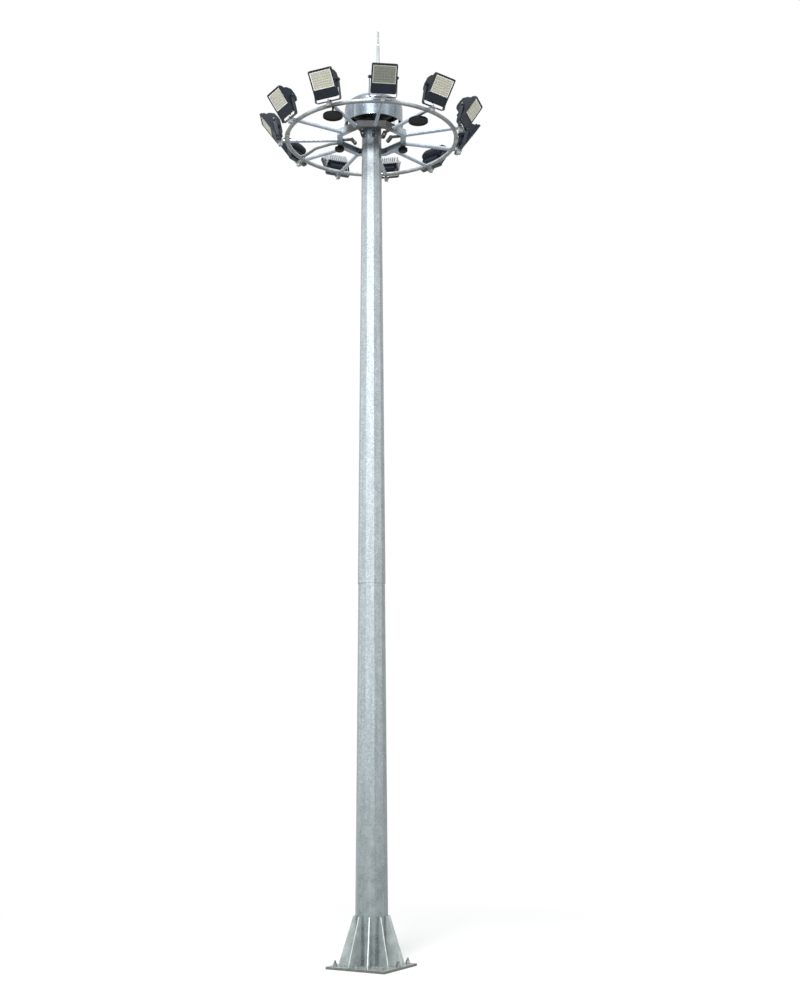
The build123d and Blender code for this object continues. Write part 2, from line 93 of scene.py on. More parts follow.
def shift(x: float, y: float, z: float) -> Matrix:
    """Returns a move along the three axes in metres."""
    return Matrix.Translation((x, y, z))


def both_sides(place: Matrix, half: float) -> list[Matrix]:
    """Returns the places at a distance to each side of a place, with Z pointing away from it."""
    return [place @ shift(0.0, side * half, 0.0) @ turn(-90.0 * side, "X") for side in (-1.0, 1.0)]


@dataclass(frozen=True)
class MastFrame:
    """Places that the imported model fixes, in metres and degrees."""

    stations: int = 11
    station_start: float = -53.3
    ring_radius: float = 1.0
    ring_pipe: float = 0.02415
    ring_height: float = 9.396
    spoke_pipe: float = 0.0212
    inner_flat: float = 0.405
    inner_step: float = 45.0
    inner_top: float = 9.449
    pivot_radius: float = 1.15
    pivot_height: float = 9.605
    aim: float = 37.0
    lean: float = 15.0
    shaft_sides: int = 10
    shaft_turn: float = -48.8
    flange_top: float = 0.025
    photo_bearing: float = -59.8
    shaft_across: float = 0.361
    shaft_taper: float = 0.015
    canopy_angle: float = 30.0
    canopy_off: float = 0.024
    rope_angles: tuple[float, ...] = (0.0, 120.0, 240.0)
    rope_radius: float = 0.305
    pulley_height: float = 9.730

    def station(self, k: float) -> float:
        """Returns the angle of lamp station k, or of a place between two stations."""
        return self.station_start + 360.0 / self.stations * k

    def lamp(self, k: int) -> Matrix:
        """Returns lamp k's own frame: X out of its face, Y across it and Z up it."""
        return at(self.station(k), self.pivot_radius, self.pivot_height) @ turn(self.aim, "Y")

    def stirrup(self, k: int) -> Matrix:
        """Returns stirrup k's own frame, which leans outwards with the pivot at its origin."""
        return at(self.station(k), self.pivot_radius, self.pivot_height) @ turn(self.lean, "Y")

    def canopy(self) -> Matrix:
        """Returns the canopy's own frame, whose Z axis is the middle of its skirt."""
        return at(self.canopy_angle, self.canopy_off) @ turn(-self.canopy_angle, "Z")

    def inner_slant(self, angle: float) -> float:
        """Returns an angle from the middle of the inner ring's nearest flat, in radians."""
        half = self.inner_step / 2
        return math.radians((angle - self.photo_bearing + half) % self.inner_step - half)

    def shaft_corner(self, height: float) -> float:
        """Returns the corner radius of the shaft's lower section at a height."""
        return (self.shaft_across - self.shaft_taper * (height - self.flange_top)) / 2

    def facet(self, i: int) -> float:
        """Returns the angle of the middle of facet i."""
        step = 360.0 / self.shaft_sides
        return self.shaft_turn + step / 2 + step * i


PLACES = MastFrame()


def from_photo(bearing: float, distance: float, height: float) -> Vector:
    """Returns a point by its bearing from the photograph's view, right being positive."""
    return at(PLACES.photo_bearing + bearing, distance, height).translation


class NodeGraph:
    """The nodes of a material or of the world, under construction."""

    def __init__(self, tree: bpy.types.NodeTree) -> None:
        """Empties a node tree.

        Args:
            tree: The tree to build in.
        """
        self.tree = tree
        self.tree.nodes.clear()

    def link(self, source: Socket, target: Socket) -> None:
        """Joins two sockets."""
        self.tree.links.new(source, target)

    def put(self, kind: str, **settings: object) -> bpy.types.Node:
        """Adds a node.

        Args:
            kind: The node's type.
            settings: Properties of the node by name.

        Returns:
            The new node.
        """
        node = self.tree.nodes.new(kind)
        for key, value in settings.items():
            setattr(node, key, value)
        return node

    def coordinates(self, scale: Colour = (1.0, 1.0, 1.0), place: Matrix | None = None) -> Socket:
        """Gives object coordinates, turned into a piece's own frame.

        Args:
            scale: How much finer the pattern is along each axis.
            place: The piece's frame in the model, or none for the model's own.

        Returns:
            A vector socket.
        """
        source = self.put("ShaderNodeTexCoord").outputs["Object"]
        if place is not None:
            move = self.put("ShaderNodeMapping", vector_type="TEXTURE")
            move.inputs["Location"].default_value = place.to_translation()
            move.inputs["Rotation"].default_value = place.to_euler()
            self.link(source, move.inputs["Vector"])
            source = move.outputs["Vector"]
        if scale != (1.0, 1.0, 1.0):
            size = self.put("ShaderNodeMapping")
            size.inputs["Scale"].default_value = scale
            self.link(source, size.inputs["Vector"])
            source = size.outputs["Vector"]
        return source

    def noise(self, vector: Socket, scale: float, detail: float = 3.0) -> Socket:
        """Adds a noise.

        Args:
            vector: Where it is read.
            scale: Its cells per metre.
            detail: How many finer layers it has.

        Returns:
            The noise's value.
        """
        node = self.put("ShaderNodeTexNoise")
        node.inputs["Scale"].default_value = scale
        node.inputs["Detail"].default_value = detail
        self.link(vector, node.inputs["Vector"])
        return node.outputs["Fac"]

    def spread(self, value: Socket, low: float, high: float,
               start: float = 0.0, end: float = 1.0) -> Socket:
        """Maps a value from one range to another.

        Args:
            value: The socket to map.
            low: The result at start.
            high: The result at end.
            start: The value that gives low.
            end: The value that gives high.

        Returns:
            The mapped value.
        """
        node = self.put("ShaderNodeMapRange")
        node.inputs["From Min"].default_value = start
        node.inputs["From Max"].default_value = end
        node.inputs["To Min"].default_value = low
        node.inputs["To Max"].default_value = high
        self.link(value, node.inputs["Value"])
        return node.outputs["Result"]

    def combine(self, operation: str, first: Socket, second: Socket | float) -> Socket:
        """Combines two values.

        Args:
            operation: The Math node's operation.
            first: The first value.
            second: The second value, written or linked.

        Returns:
            The result.
        """
        node = self.put("ShaderNodeMath", operation=operation)
        self.link(first, node.inputs[0])
        if isinstance(second, (int, float)):
            node.inputs[1].default_value = second
        else:
            self.link(second, node.inputs[1])
        return node.outputs["Value"]

    def blend(self, share: Socket, first: Colour | Socket,
              second: Colour | Socket, mode: str = "MIX") -> Socket:
        """Mixes two colours.

        Args:
            share: How much of the second colour shows.
            first: The first colour, written or linked.
            second: The second colour, written or linked.
            mode: The Mix node's blend type.

        Returns:
            The mixed colour.
        """
        node = self.put("ShaderNodeMix", data_type="RGBA", blend_type=mode)
        self.link(share, node.inputs["Factor"])
        for socket, colour in ((node.inputs[6], first), (node.inputs[7], second)):
            if isinstance(colour, tuple):
                socket.default_value = (*colour, 1.0)
            else:
                self.link(colour, socket)
        return node.outputs[2]

    def seen(self) -> Socket:
        """Returns 1 on the rays of the camera, of mirrors and of clear glass, and 0 on others."""
        path = self.put("ShaderNodeLightPath")
        rays = self.combine("MAXIMUM", path.outputs["Is Camera Ray"], path.outputs["Is Glossy Ray"])
        return self.combine("MAXIMUM", rays, path.outputs["Is Transmission Ray"])

    def axis(self, vector: Socket, name: str) -> Socket:
        """Splits a vector.

        Args:
            vector: The vector.
            name: The axis that is wanted: X, Y or Z.

        Returns:
            The vector's share along that axis.
        """
        split = self.put("ShaderNodeSeparateXYZ")
        self.link(vector, split.inputs["Vector"])
        return split.outputs[name]

    def facing(self, name: str) -> Socket:
        """Returns how far the surface faces along X, Y or Z."""
        return self.axis(self.put("ShaderNodeNewGeometry").outputs["Normal"], name)


class Shader(NodeGraph):
    """A node material under construction, with one principled shader."""

    def __init__(self, name: str) -> None:
        """Starts a material with an output and a principled shader.

        Args:
            name: The material's name.
        """
        self.material = bpy.data.materials.new(name)
        self.material.use_nodes = True
        super().__init__(self.material.node_tree)
        self.output = self.put("ShaderNodeOutputMaterial")
        self.surface = self.put("ShaderNodeBsdfPrincipled")
        self.link(self.surface.outputs["BSDF"], self.output.inputs["Surface"])

    def fix(self, **sockets: object) -> None:
        """Sets plain values on the principled shader.

        Args:
            sockets: Values by their sockets' names, with _ for each space.
        """
        for key, value in sockets.items():
            if isinstance(value, tuple) and len(value) == 3:
                value = (*value, 1.0)
            self.surface.inputs[key.replace("_", " ")].default_value = value

    def cover(self, colour: Socket, rough: Socket) -> None:
        """Links the surface's colour and its roughness."""
        self.link(colour, self.surface.inputs["Base Color"])
        self.link(rough, self.surface.inputs["Roughness"])

    def bump(self, height: Socket, strength: float, distance: float) -> None:
        """Adds a bump to the surface.

        Args:
            height: The height value that shapes it.
            strength: How strongly it shows, from 0 to 1.
            distance: Its height in metres.
        """
        node = self.put("ShaderNodeBump")
        node.inputs["Strength"].default_value = strength
        node.inputs["Distance"].default_value = distance
        self.link(height, node.inputs["Height"])
        self.link(node.outputs["Normal"], self.surface.inputs["Normal"])


@dataclass(frozen=True)
class Galvanised:
    """Hot-dip zinc with spangles, mottling and faint streaks.

    Attributes:
        name: The material's name.
        bright: Colour of the brightest zinc.
        dull: Colour of the dull grey zinc between.
        cells: Spangle cells per metre.
        rough: Middle roughness.
        metal: Share of metal in the shader.
        weathered_below: Height in metres under which the zinc has dulled, or none.
        inside: Colour of painted shade on faces that look towards the canopy's axis or down, or
            none.
        under: Share of its colour that faces looking down keep, as painted shade on the undersides.
        head_shade_from: Height in metres over which the zinc is darkened by painted shade under the
            head, or none.
        edges: Share of its colour that upright faces keep as painted shade, or none.
        near: Share of its colour that is left towards the photograph's side as painted shade, or
            none.
        weathered: Share of its colour that dulled zinc keeps.
        head_shade: Share of its colour that zinc in the painted shade keeps.
        canopy_middle: Point inside the cover, from which its sheet faces away.
    """

    name: str = "zinc"
    bright: Colour = (0.52, 0.56, 0.58)
    dull: Colour = (0.36, 0.40, 0.41)
    cells: float = 55.0
    rough: float = 0.38
    metal: float = 0.75
    weathered_below: float = 0.0
    inside: Colour | None = None
    # Painted shade: the colour kept by faces that look down.
    under: Colour = (0.44, 0.44, 0.40)
    head_shade_from: float = 0.0
    edges: Colour | None = None
    near: Colour | None = None
    weathered: Colour = (0.70, 0.74, 0.72)
    head_shade: Colour = (0.20, 0.23, 0.27)
    canopy_middle: Colour = (0.0, 0.0, 9.55)

    def material(self) -> bpy.types.Material:
        """Returns the finish as a new material."""
        make = Shader(self.name)
        make.fix(Metallic=self.metal)
        plain = make.coordinates()
        cell = make.put("ShaderNodeTexVoronoi")
        cell.inputs["Scale"].default_value = self.cells
        make.link(plain, cell.inputs["Vector"])
        grain = make.put("ShaderNodeSeparateColor")
        make.link(cell.outputs["Color"], grain.inputs["Color"])
        mottle = make.noise(plain, 9.0, 5.0)
        streak = make.noise(make.coordinates((26.0, 26.0, 1.6)), 1.0, 4.0)
        tone = make.combine("MULTIPLY", grain.outputs["Red"], 0.38)
        tone = make.combine("ADD", tone, make.spread(mottle, -0.25, 0.45, 0.35, 0.65))
        tone = make.combine("ADD", tone, make.spread(streak, -0.05, 0.35, 0.35, 0.65))
        colour = make.blend(make.spread(tone, 0.0, 1.0, 0.05, 0.95), self.dull, self.bright)
        if self.weathered_below:
            age = make.spread(make.axis(plain, "Z"), 1.0, 0.0, 0.0, self.weathered_below)
            colour = make.blend(age, colour, self.weathered, "MULTIPLY")
        # Painted shade: faces that look down are darkened by the under colour.
        upward = make.facing("Z")
        down = make.spread(upward, 1.0, 0.0, -0.85, 0.15)
        colour = make.blend(down, colour, self.under, "MULTIPLY")
        # Painted shade: upright faces are darkened by the edges share.
        if self.edges is not None:
            upright = make.spread(upward, 1.0, 0.0, 0.3, 0.6)
            colour = make.blend(upright, colour, self.edges, "MULTIPLY")
        # Painted shade: the side towards photo_bearing is darkened by the near share.
        if self.near is not None:
            colour = make.blend(self.near_side(make), colour, self.near, "MULTIPLY")
        # Painted shade: the zinc above a height is darkened, as in the shade under the head.
        if self.head_shade_from:
            ragged = make.spread(streak, -0.05, 0.05, 0.3, 0.7)
            edge = make.combine("ADD", make.axis(plain, "Z"), ragged)
            head_shade = make.spread(edge, 0.0, 1.0, self.head_shade_from, self.head_shade_from + 0.26)
            colour = make.blend(head_shade, colour, self.head_shade, "MULTIPLY")
        # Painted shade: faces inside the canopy and faces looking down are darkened.
        if self.inside is not None:
            colour = make.blend(self.inner_side(make), colour, self.inside)
        rough = make.spread(grain.outputs["Green"], self.rough - 0.08, self.rough + 0.08)
        make.cover(colour, make.combine("ADD", rough, make.spread(mottle, -0.06, 0.10, 0.3, 0.7)))
        fine = make.noise(plain, 260.0, 2.0)
        height = make.combine("ADD", make.combine("MULTIPLY", grain.outputs["Blue"], 0.35), fine)
        make.bump(height, 0.18, 0.0004)
        return make.material

    @staticmethod
    def near_side(make: Shader) -> Socket:
        """Tells the photograph's side of the mast, where painted shade goes, from the rest.

        Args:
            make: The material under construction.

        Returns:
            1 on the photograph's side, and 0 from the mast's axis on.
        """
        toward = make.put("ShaderNodeVectorMath", operation="DOT_PRODUCT")
        make.link(make.coordinates(), toward.inputs[0])
        toward.inputs[1].default_value = at(PLACES.photo_bearing, 1.0).translation
        return make.spread(toward.outputs["Value"], 0.0, 1.0, 0.24, 0.30)

    def inner_side(self, make: Shader) -> Socket:
        """Tells a cover's inside, where painted shade goes, from its outside.

        Args:
            make: The material under construction.

        Returns:
            1 on faces that look inwards or down, and 0 on the outside.
        """
        away = make.put("ShaderNodeVectorMath", operation="SUBTRACT")
        make.link(make.coordinates(), away.inputs[0])
        away.inputs[1].default_value = PLACES.canopy() @ Vector(self.canopy_middle)
        facing = make.put("ShaderNodeVectorMath", operation="DOT_PRODUCT")
        make.link(away.outputs["Vector"], facing.inputs[0])
        make.link(make.put("ShaderNodeNewGeometry").outputs["Normal"], facing.inputs[1])
        return make.spread(facing.outputs["Value"], 1.0, 0.0, -0.02, 0.02)


@dataclass(frozen=True)
class PowderCoat:
    """Dark paint baked on to metal, with its fine orange peel and some dust.

    Attributes:
        name: The material's name.
        colour: The paint's colour.
        rough: Middle roughness.
        dust: How much pale dust lies on upward faces.
        gloss: Strength of the paint's mirror reflection.
        dust_colour: The dust's colour.
    """

    name: str = "powder_coat"
    colour: Colour = (0.010, 0.013, 0.020)
    rough: float = 0.34
    dust: float = 0.05
    gloss: float = 0.30
    dust_colour: Colour = (0.30, 0.31, 0.31)

    def material(self) -> bpy.types.Material:
        """Returns the finish as a new material."""
        make = Shader(self.name)
        make.fix(Specular_IOR_Level=self.gloss)
        plain = make.coordinates()
        cloud = make.noise(plain, 14.0, 4.0)
        lighter = tuple(min(1.0, c * 1.6 + 0.002) for c in self.colour)
        colour = make.blend(make.spread(cloud, 0.0, 0.7, 0.35, 0.75), self.colour, lighter)
        lying = make.spread(make.facing("Z"), 0.0, self.dust, 0.3, 1.0)
        dusty = make.combine("MULTIPLY", lying, make.spread(cloud, 0.4, 1.0, 0.3, 0.7))
        colour = make.blend(dusty, colour, self.dust_colour)
        rough = make.spread(cloud, self.rough - 0.06, self.rough + 0.10, 0.3, 0.7)
        make.cover(self.shaded(make, colour), rough)
        make.bump(make.noise(plain, 900.0, 2.0), 0.12, 0.0002)
        return make.material

    def shaded(self, make: Shader, colour: Socket) -> Socket:
        """Returns the paint's colour, the same all over."""
        return colour


@dataclass(frozen=True)
class HousingPaint(PowderCoat):
    """The paint of one lamp's housing, with a colour of its own on the heat sink over its back,
    which is a painted pale sheen on some lamps.

    Attributes:
        place: The lamp's own frame.
        sink: Colour on the heat sink, which is a painted pale sheen on some lamps.
        sink_front: Distance in front of the pivot where the heat sink ends.
        sink_low: Height over the pivot where it ends.
    """

    gloss: float = 0.16
    rough: float = 0.46
    place: Matrix = field(default_factory=lambda: Matrix.Identity(4))
    sink: Colour = (0.016, 0.020, 0.028)
    sink_front: float = 0.058
    sink_low: float = -0.010

    def shaded(self, make: Shader, colour: Socket) -> Socket:
        """Lays the heat sink's colour over the paint's.

        Args:
            make: The material under construction.
            colour: The paint's colour.

        Returns:
            The colour with the heat sink's laid over it.
        """
        local = make.coordinates(place=self.place)
        front, low = self.sink_front, self.sink_low
        behind = make.spread(make.axis(local, "X"), 1.0, 0.0, front, front + 0.003)
        above = make.spread(make.axis(local, "Z"), 0.0, 1.0, low, low + 0.004)
        return make.blend(make.combine("MULTIPLY", behind, above), colour, self.sink)


@dataclass(frozen=True)
class Moulded:
    """Moulded plastic or rubber with a faint grain.

    Attributes:
        name: The material's name.
        colour: The plastic's colour.
        rough: Middle roughness.
        coat: Weight of a clear glossy skin.
        shine: Strength of the plastic's own reflection.
    """

    name: str = "moulded_plastic"
    colour: Colour = (0.02, 0.022, 0.026)
    rough: float = 0.45
    coat: float = 0.0
    shine: float = 0.5

    def material(self) -> bpy.types.Material:
        """Returns the finish as a new material."""
        make = Shader(self.name)
        make.fix(Coat_Weight=self.coat, Coat_Roughness=0.12, Specular_IOR_Level=self.shine)
        plain = make.coordinates()
        cloud = make.noise(plain, 40.0, 3.0)
        darker = tuple(c * 0.78 for c in self.colour)
        colour = make.blend(make.spread(cloud, 0.0, 1.0, 0.35, 0.65), darker, self.colour)
        make.cover(colour, make.spread(cloud, self.rough - 0.05, self.rough + 0.08))
        make.bump(make.noise(plain, 1400.0, 2.0), 0.10, 0.0001)
        return make.material


@dataclass(frozen=True)
class PlainMetal:
    """Bare or plated metal of small fasteners, ropes and pulleys.

    Attributes:
        name: The material's name.
        colour: The metal's colour.
        rough: Middle roughness.
        grime: Share of dark grime in the hollows of the noise.
    """

    name: str = "plated_steel"
    colour: Colour = (0.46, 0.48, 0.49)
    rough: float = 0.34
    grime: float = 0.35

    def material(self) -> bpy.types.Material:
        """Returns the finish as a new material."""
        make = Shader(self.name)
        make.fix(Metallic=0.9)
        plain = make.coordinates()
        cloud = make.noise(plain, 60.0, 4.0)
        dark = tuple(c * 0.35 for c in self.colour)
        colour = make.blend(make.spread(cloud, 0.0, self.grime, 0.45, 0.75), self.colour, dark)
        make.cover(colour, make.spread(cloud, self.rough, self.rough + 0.22, 0.3, 0.7))
        make.bump(make.noise(plain, 600.0, 2.0), 0.12, 0.0002)
        return make.material


@dataclass(frozen=True)
class LightBoard:
    """The pale board behind the lenses: a cream sheet with darker rows and a lighter border.

    Attributes:
        name: The material's name.
        place: The lamp's own frame.
        cream: Colour of the board between its lines.
        line: Colour of the lines between the rows of light sources.
        border: Colour of the border sheet.
        middle_up: Height of the board's middle over the pivot.
        half_across: Half the width inside the border.
        half_high: Half the height inside the border.
        pitch: Distance from row to row.
    """

    name: str
    place: Matrix
    cream: Colour = (0.51, 0.50, 0.40)
    line: Colour = (0.27, 0.26, 0.21)
    border: Colour = (0.84, 0.84, 0.76)
    middle_up: float = 0.045
    half_across: float = 0.120
    half_high: float = 0.087
    pitch: float = 0.0278

    def material(self) -> bpy.types.Material:
        """Returns the finish as a new material, turned into the lamp's frame."""
        make = Shader(self.name)
        make.fix(Roughness=0.35, Coat_Weight=0.25, Coat_Roughness=0.2)
        local = make.coordinates(place=self.place)
        across = make.axis(local, "Y")
        up = make.combine("SUBTRACT", make.axis(local, "Z"), self.middle_up)
        row = make.combine("PINGPONG", up, self.pitch / 2)
        rows = make.spread(row, 1.0, 0.0, 0.0, self.pitch * 0.20)
        colour = make.blend(rows, self.cream, self.line)
        beside = make.combine("SUBTRACT", make.combine("ABSOLUTE", across, 0.0), self.half_across)
        above = make.combine("SUBTRACT", make.combine("ABSOLUTE", up, 0.0), self.half_high)
        rim = make.spread(make.combine("MAXIMUM", beside, above), 0.0, 1.0, -0.0006, 0.0006)
        colour = make.blend(rim, colour, self.border)
        make.link(colour, make.surface.inputs["Base Color"])
        return make.material


@dataclass(frozen=True)
class StudioWhite:
    """The pale floor, which keeps a soft shadow but shows as the white background.

    Attributes:
        name: The material's name.
        white: The floor's own colour.
        near: Distance from the mast where plain white starts to take over.
        far: Distance from which only plain white shows.
        glow: Share of plain white that shows close to the mast.
    """

    name: str = "studio_floor"
    white: Colour = (0.84, 0.84, 0.84)
    near: float = 1.2
    far: float = 7.0
    glow: float = 0.66

    def material(self) -> bpy.types.Material:
        """Returns the finish as a new material."""
        make = Shader(self.name)
        make.fix(Base_Color=self.white, Roughness=0.9, Specular_IOR_Level=0.0)
        shine = make.put("ShaderNodeEmission")
        shine.inputs["Color"].default_value = (1.0, 1.0, 1.0, 1.0)
        away = make.put("ShaderNodeVectorMath", operation="LENGTH")
        make.link(make.coordinates(), away.inputs[0])
        share = make.spread(away.outputs["Value"], self.glow, 1.0, self.near, self.far)
        mix = make.put("ShaderNodeMixShader")
        make.link(make.combine("MULTIPLY", make.seen(), share), mix.inputs["Fac"])
        make.link(make.surface.outputs["BSDF"], mix.inputs[1])
        make.link(shine.outputs["Emission"], mix.inputs[2])
        make.link(mix.outputs["Shader"], make.output.inputs["Surface"])
        return make.material


class Finishes:
    """Every finish of the tower, made once."""

    def __init__(self) -> None:
        """Makes the materials."""
        # The shaft's zinc is darkened near its top by painted shade under the head.
        self.shaft = Galvanised("zinc_shaft", (0.38, 0.415, 0.435), (0.265, 0.295, 0.31),
                                rough=0.32, metal=0.70, weathered_below=6.0,
                                head_shade_from=9.20).material()
        self.plate = Galvanised("zinc_plate", (0.62, 0.68, 0.67), (0.46, 0.51, 0.50), cells=70.0,
                                rough=0.46, metal=0.5).material()
        # The flange's upright faces carry painted shade.
        self.flange = Galvanised("zinc_flange", (0.40, 0.44, 0.43), (0.29, 0.32, 0.31), cells=70.0,
                                 rough=0.46, metal=0.5, edges=(0.42, 0.42, 0.38)).material()
        # The under colours of these zinc finishes darken their faces that look down, as painted
        # shade.
        self.pipe = Galvanised("zinc_pipe", (0.48, 0.51, 0.53), (0.35, 0.375, 0.38), cells=120.0,
                               rough=0.28, metal=0.40, under=(0.32, 0.33, 0.31)).material()
        self.spoke = Galvanised("zinc_spoke", (0.56, 0.62, 0.68), (0.42, 0.47, 0.52), cells=120.0,
                                rough=0.28, metal=0.40, under=(0.40, 0.43, 0.46)).material()
        # The channel carries painted shade on the side towards photo_bearing.
        self.channel = Galvanised("zinc_channel", (0.46, 0.52, 0.57), (0.34, 0.39, 0.43),
                                  cells=90.0, rough=0.30, metal=0.35, under=(0.42, 0.45, 0.47),
                                  near=(0.09, 0.085, 0.075)).material()
        self.strap = Galvanised("zinc_strap", (0.17, 0.185, 0.19), (0.10, 0.11, 0.112), cells=90.0,
                                rough=0.30, metal=0.35, under=(0.30, 0.30, 0.28)).material()
        # The sheet's inside carries painted shade.
        self.sheet = Galvanised("zinc_sheet", (0.27, 0.315, 0.365), (0.21, 0.25, 0.295), cells=90.0,
                                rough=0.24, metal=0.85, inside=(0.040, 0.043, 0.043)).material()
        # Dark zinc as painted shade, for the parts in shade under the canopy.
        self.shade_zinc = Galvanised("zinc_shade", (0.10, 0.105, 0.10), (0.05, 0.054, 0.052),
                                 cells=90.0, rough=0.44, metal=0.4,
                                 under=(0.40, 0.40, 0.36)).material()
        self.weld = Galvanised("zinc_weld", (0.34, 0.37, 0.37), (0.22, 0.24, 0.24), cells=300.0,
                               rough=0.42, metal=0.5).material()
        self.bolt = PlainMetal().material()
        self.anchor = PlainMetal("anchor_zinc", (0.34, 0.35, 0.35), 0.24, 0.7).material()
        self.dark_steel = PlainMetal("worked_steel", (0.10, 0.105, 0.11), 0.38, 0.5).material()
        self.rope = PlainMetal("wire", (0.30, 0.31, 0.32), 0.35, 0.6).material()
        self.stirrup = PowderCoat("stirrup_coat", (0.016, 0.020, 0.028), 0.32, 0.08).material()
        self.nylon = Moulded("nylon", (0.022, 0.023, 0.026), 0.5).material()
        self.fitting = Moulded("fitting_shell", (0.0045, 0.0048, 0.0046), 0.55,
                               shine=0.12).material()
        self.conduit = Galvanised("zinc_conduit", (0.30, 0.32, 0.33), (0.20, 0.22, 0.23),
                                  cells=160.0, rough=0.40, metal=0.5).material()
        self.lens = Moulded("lens_plastic", (0.51, 0.50, 0.40), 0.34, 0.15).material()
        # A darker copy of the lens plastic as painted shade, for the shaded lamps.
        self.shaded_lens = Moulded("lens_plastic_shaded", (0.17, 0.178, 0.14), 0.34,
                                   0.15).material()

    @staticmethod
    def coat(material: bpy.types.Material, *nodes: str) -> None:
        """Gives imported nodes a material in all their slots.

        Args:
            material: The material that they get.
            nodes: The nodes' names.
        """
        for node in nodes:
            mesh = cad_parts[node].data
            mesh.materials.clear()
            mesh.materials.append(material)
            for face in mesh.polygons:
                face.material_index = 0


class Piece:
    """A new mesh that is built from operators, then finished and set on its body."""

    def __init__(self, name: str) -> None:
        """Starts an empty mesh.

        Args:
            name: The piece's name.
        """
        self.name = name
        self.bm = bmesh.new()

    @staticmethod
    def faces(verts: Iterable[bmesh.types.BMVert]) -> list[bmesh.types.BMFace]:
        """Returns every face that touches some vertices."""
        return list({f for v in verts for f in v.link_faces})

    def turned(self, place: Matrix, profile: Profile, steps: int = 24,
               closed: bool = False) -> list[bmesh.types.BMVert]:
        """Adds a profile of radius and height, turned round its place's Z axis.

        Args:
            place: Where the axis is.
            profile: Points of radius and height, from the bottom up.
            steps: Number of steps round.
            closed: True for a ring whose profile meets itself.

        Returns:
            The new vertices.
        """
        before = set(self.bm.verts)
        points = [self.bm.verts.new((r, 0.0, z)) for r, z in profile]
        pairs = list(zip(points, points[1:]))
        if closed:
            pairs.append((points[-1], points[0]))
        edges = [self.bm.edges.new(pair) for pair in pairs]
        bmesh.ops.spin(self.bm, geom=points + edges, cent=(0.0, 0.0, 0.0), axis=(0.0, 0.0, 1.0),
                       dvec=(0.0, 0.0, 0.0), angle=math.tau, steps=steps, use_merge=True)
        fresh = [v for v in self.bm.verts if v not in before]
        bmesh.ops.remove_doubles(self.bm, verts=fresh, dist=1e-6)
        fresh = [v for v in self.bm.verts if v not in before]
        bmesh.ops.recalc_face_normals(self.bm, faces=self.faces(fresh))
        bmesh.ops.transform(self.bm, matrix=place, verts=fresh)
        return fresh

    def hexagon(self, place: Matrix, across: float, height: float, chamfer: float = 0.0012) -> None:
        """Adds a hexagon nut or bolt head with its upper corners chamfered.

        Args:
            place: The middle of its seat, with Z away from the seat.
            across: Width across the flats.
            height: Its height.
            chamfer: Width of the chamfer.
        """
        radius = across / math.sqrt(3.0)
        made = bmesh.ops.create_cone(self.bm, cap_ends=True, segments=6, radius1=radius,
                                     radius2=radius, depth=height)
        verts = made["verts"]
        bmesh.ops.transform(self.bm, matrix=place @ shift(0.0, 0.0, height / 2), verts=verts)
        axis = place.to_3x3() @ Vector((0.0, 0.0, 1.0))
        top = place.translation + axis * height
        ends = {v for v in verts if abs((v.co - top).dot(axis)) < 1e-6}
        rims = list({e for v in ends for e in v.link_edges if e.other_vert(v) in ends})
        bmesh.ops.bevel(self.bm, geom=rims, offset=chamfer, segments=2, profile=0.5,
                        affect="EDGES", material=-1)

    def bolt(self, place: Matrix, size: float) -> None:
        """Adds a hexagon bolt head on its washer.

        Args:
            place: The middle of the washer's seat.
            size: The bolt's nominal diameter.
        """
        washer = size * 0.18
        self.turned(place, washer_profile(size * 0.55, size * 1.05, washer), 20, closed=True)
        self.hexagon(place @ shift(0.0, 0.0, washer), size * 1.55, size * 0.65, size * 0.09)

    def stud(self, place: Matrix, size: float, length: float, sides: int = 14) -> None:
        """Adds the threaded end of a stud.

        Args:
            place: Where the thread starts.
            size: The stud's nominal diameter.
            length: Length of the thread that shows.
            sides: Number of sides round.
        """
        radius = size / 2
        pitch = size * 0.14
        root = radius - pitch * 0.5
        turns = int(length / pitch)
        profile = [(0.0, 0.0), (root, 0.0)]
        for i in range(turns):
            profile += [(radius, (i + 0.5) * pitch), (root, (i + 1.0) * pitch)]
        profile += [(root * 0.86, length), (0.0, length)]
        self.turned(place, profile, sides)

    def bead(self, start: Vector, end: Vector, side_a: Vector, side_b: Vector, size: float,
             seed: float, ripple: float = 0.006) -> None:
        """Adds a weld bead in the corner between two surfaces.

        Args:
            start: The corner's first point.
            end: The corner's last point.
            side_a: Unit vector along the first surface, away from the corner.
            side_b: Unit vector along the second surface, away from the corner.
            size: The bead's leg on each surface.
            seed: Place in the noise that roughens the bead.
            ripple: Length of one ripple along the bead, which three mesh steps follow.
        """
        run = end - start
        steps = max(4, int(run.length / (ripple / 3.0)))
        made = bmesh.ops.create_grid(self.bm, x_segments=steps, y_segments=4, size=0.5)
        for v in made["verts"]:
            along, across = v.co.x + 0.5, v.co.y + 0.5
            wave = 0.10 * math.sin(math.tau * along * run.length / ripple)
            rough = 0.18 * noise.noise(Vector((seed, along * run.length * 60.0, across * 2.0)))
            leg = size * (1.0 + wave + rough)
            corner = start + run * along
            flat = side_a * (leg * (1.0 - across)) + side_b * (leg * across)
            belly = (side_a + side_b) * (0.30 * leg * math.sin(math.pi * across))
            v.co = corner + flat + belly

    def hardware(self, body: Body | str, material: bpy.types.Material) -> None:
        """Finishes a piece of nuts and bolts, with its edges sharp.

        Args:
            body: The body that it rides on.
            material: Its material.
        """
        self.finish(body, material, 30.0)

